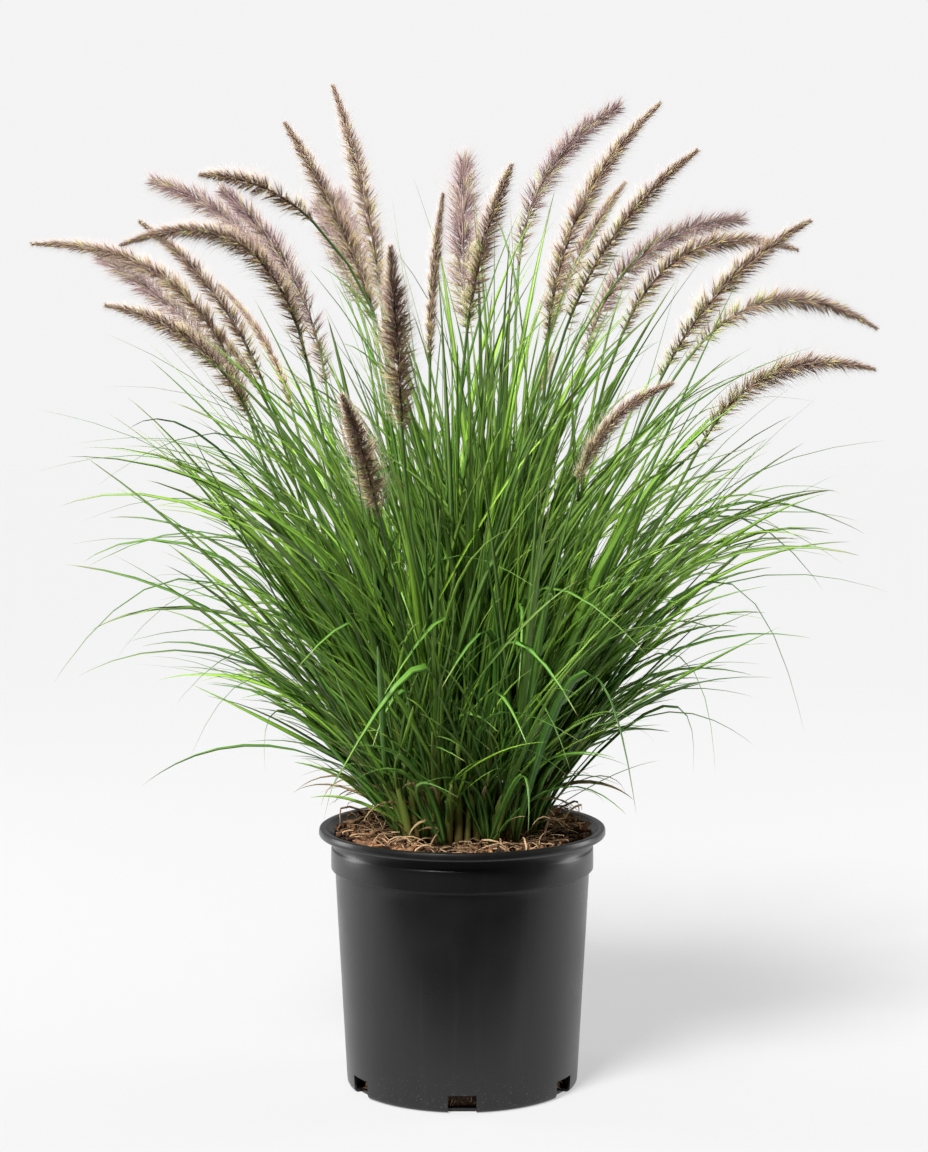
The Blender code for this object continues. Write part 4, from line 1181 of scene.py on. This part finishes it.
def stem_paths(root, foot, middle, tip):
    """The culm's and the plume's curves, as in the solid."""
    bend = middle * 2.0 - (foot + tip) * 0.5
    rise = np.linalg.norm(foot - root)
    lean = unit(unit(foot * LEVEL) * 0.35 + UP)
    culm_curve = [root, root + lean * rise * 0.40, foot - unit(bend - foot) * rise * 0.35, foot]
    return np.array([culm_curve]), np.array([curve_through(foot, bend, tip)])


def between(stops, along):
    """Values between stops of (place, value)."""
    return np.interp(along, *zip(*stops))


for index, (foot, middle, tip, fullness) in enumerate(STEM_ROWS):
    number = index + 1
    soft = number in SOFT
    loose = number in LOOSE
    node = "flower_stem_%02d" % number
    root = root_of(node)
    foot, middle, tip = (np.array(point) / 1000 for point in (foot, middle, tip))
    culm_curve, plume_curve = stem_paths(root, foot, middle, tip)
    growth = Growth(700 + index)
    rng = growth.rng

    # The culm runs on through the plume as its rachis
    lower_rows = np.linspace(0.0, 1.0, CULM_ROWS)
    lower_spots, lower_tangents = bezier(culm_curve, lower_rows)
    upper_spots, upper_tangents = bezier(plume_curve, np.linspace(0.0, 1.0, PLUME_ROWS)[1:])
    spots = np.concatenate((lower_spots, upper_spots), axis=1)
    tangents = np.concatenate((lower_tangents, upper_tangents), axis=1)
    side_hint = unit(np.cross(UP, unit((tip - root) * LEVEL)))[None]
    side, upper = frames_along(tangents, side_hint, np.zeros((1, 2)))
    wiry = along_paths(culm_shape, spots, side, upper, np.array([CULM_RADIUS]))
    growth.add(culm_shape, wiry, rng.uniform(0.1, 0.4), CULM)

    plume_length = np.linalg.norm(foot - middle) + np.linalg.norm(tip - middle)
    count = int(plume_length / SPIKELET_STEP)
    along = np.sort((np.arange(count) + rng.uniform(0.0, 1.0, count)) / count) ** 0.96
    (spots,), (tangents,) = bezier(plume_curve, along)
    around = np.arange(count) * GOLDEN_ANGLE + rng.normal(0.0, 0.25, count)
    side, upper = frames_along(tangents[None], side_hint, np.zeros((1, 2)))
    outward = side[0] * np.cos(around)[:, None] + upper[0] * np.sin(around)[:, None]
    width = between(BLUNT if soft else POINTED, along) * fullness
    splay = between(SOFT_SPLAY if soft else POINTED_SPLAY, along) + rng.normal(0.0, 6.0, count)
    splay = np.radians((NARROW_OPENING if number in NARROW else 1.0) * splay)
    directions = tangents * np.cos(splay)[:, None] + outward * np.sin(splay)[:, None]
    starts = spots + outward * RACHIS_RADIUS
    length = SPIKELET_LENGTH * width * rng.uniform(0.8, 1.15, count) * (1.15 if soft else 1.0)
    thick = SPIKELET_LENGTH * (0.6 + 0.4 * width) * (0.8 if soft else 1.0)
    scales = np.stack((thick, thick, length), axis=1)
    pale = rng.uniform(0.0, 1.0, count) < between(PALE_SHARE, along)
    tone = np.where(pale, rng.normal(0.70, 0.10, count), rng.normal(0.14, 0.12, count))
    if loose:
        tone += between(LOOSE_GREEN, along)
    tone = np.clip(tone, 0.0, 1.0)
    kept = rng.uniform(0.0, 1.0, count) < between(LOOSE_KEPT if loose else FULL_KEPT, along)
    axes = axes_about(directions[kept], rng.uniform(0.0, math.tau, kept.sum()))
    tufts = placed(tuft_shape, starts[kept], axes, scales[kept])
    growth.add(tuft_shape, tufts, tone[kept], tuft_slots)

    # Slim leaves from the culm's joints
    starts = points_along(lower_spots[0], lower_rows, rng.uniform(0.22, 0.66, CULM_LEAVES))
    lean = math.acos(min(0.999, float(lower_tangents[0, CULM_ROWS // 2, 2])))
    heading = math.atan2(foot[1], foot[0]) + rng.normal(0.0, 1.1, CULM_LEAVES)
    leans = lean + rng.uniform(-0.05, 0.30, CULM_LEAVES)
    droops = np.radians(rng.uniform(*CULM_LEAF_DROOPS, CULM_LEAVES))
    lengths = rng.uniform(*CULM_LEAF_LENGTHS, CULM_LEAVES)
    tones = rng.uniform(0.1, 1.0, CULM_LEAVES)
    add_leaves(growth, starts, heading, leans, droops, lengths, tones, 0.7, CULM_LEAF)
    husk, bristle = (soft_husk, soft_bristle) if soft else (spikelet_husk, pale_bristle)
    stem = growth.join("grass_flower_%02d" % number, [green_culm, husk, bristle, green_leaf])
    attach(stem, "root")
    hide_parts(node)
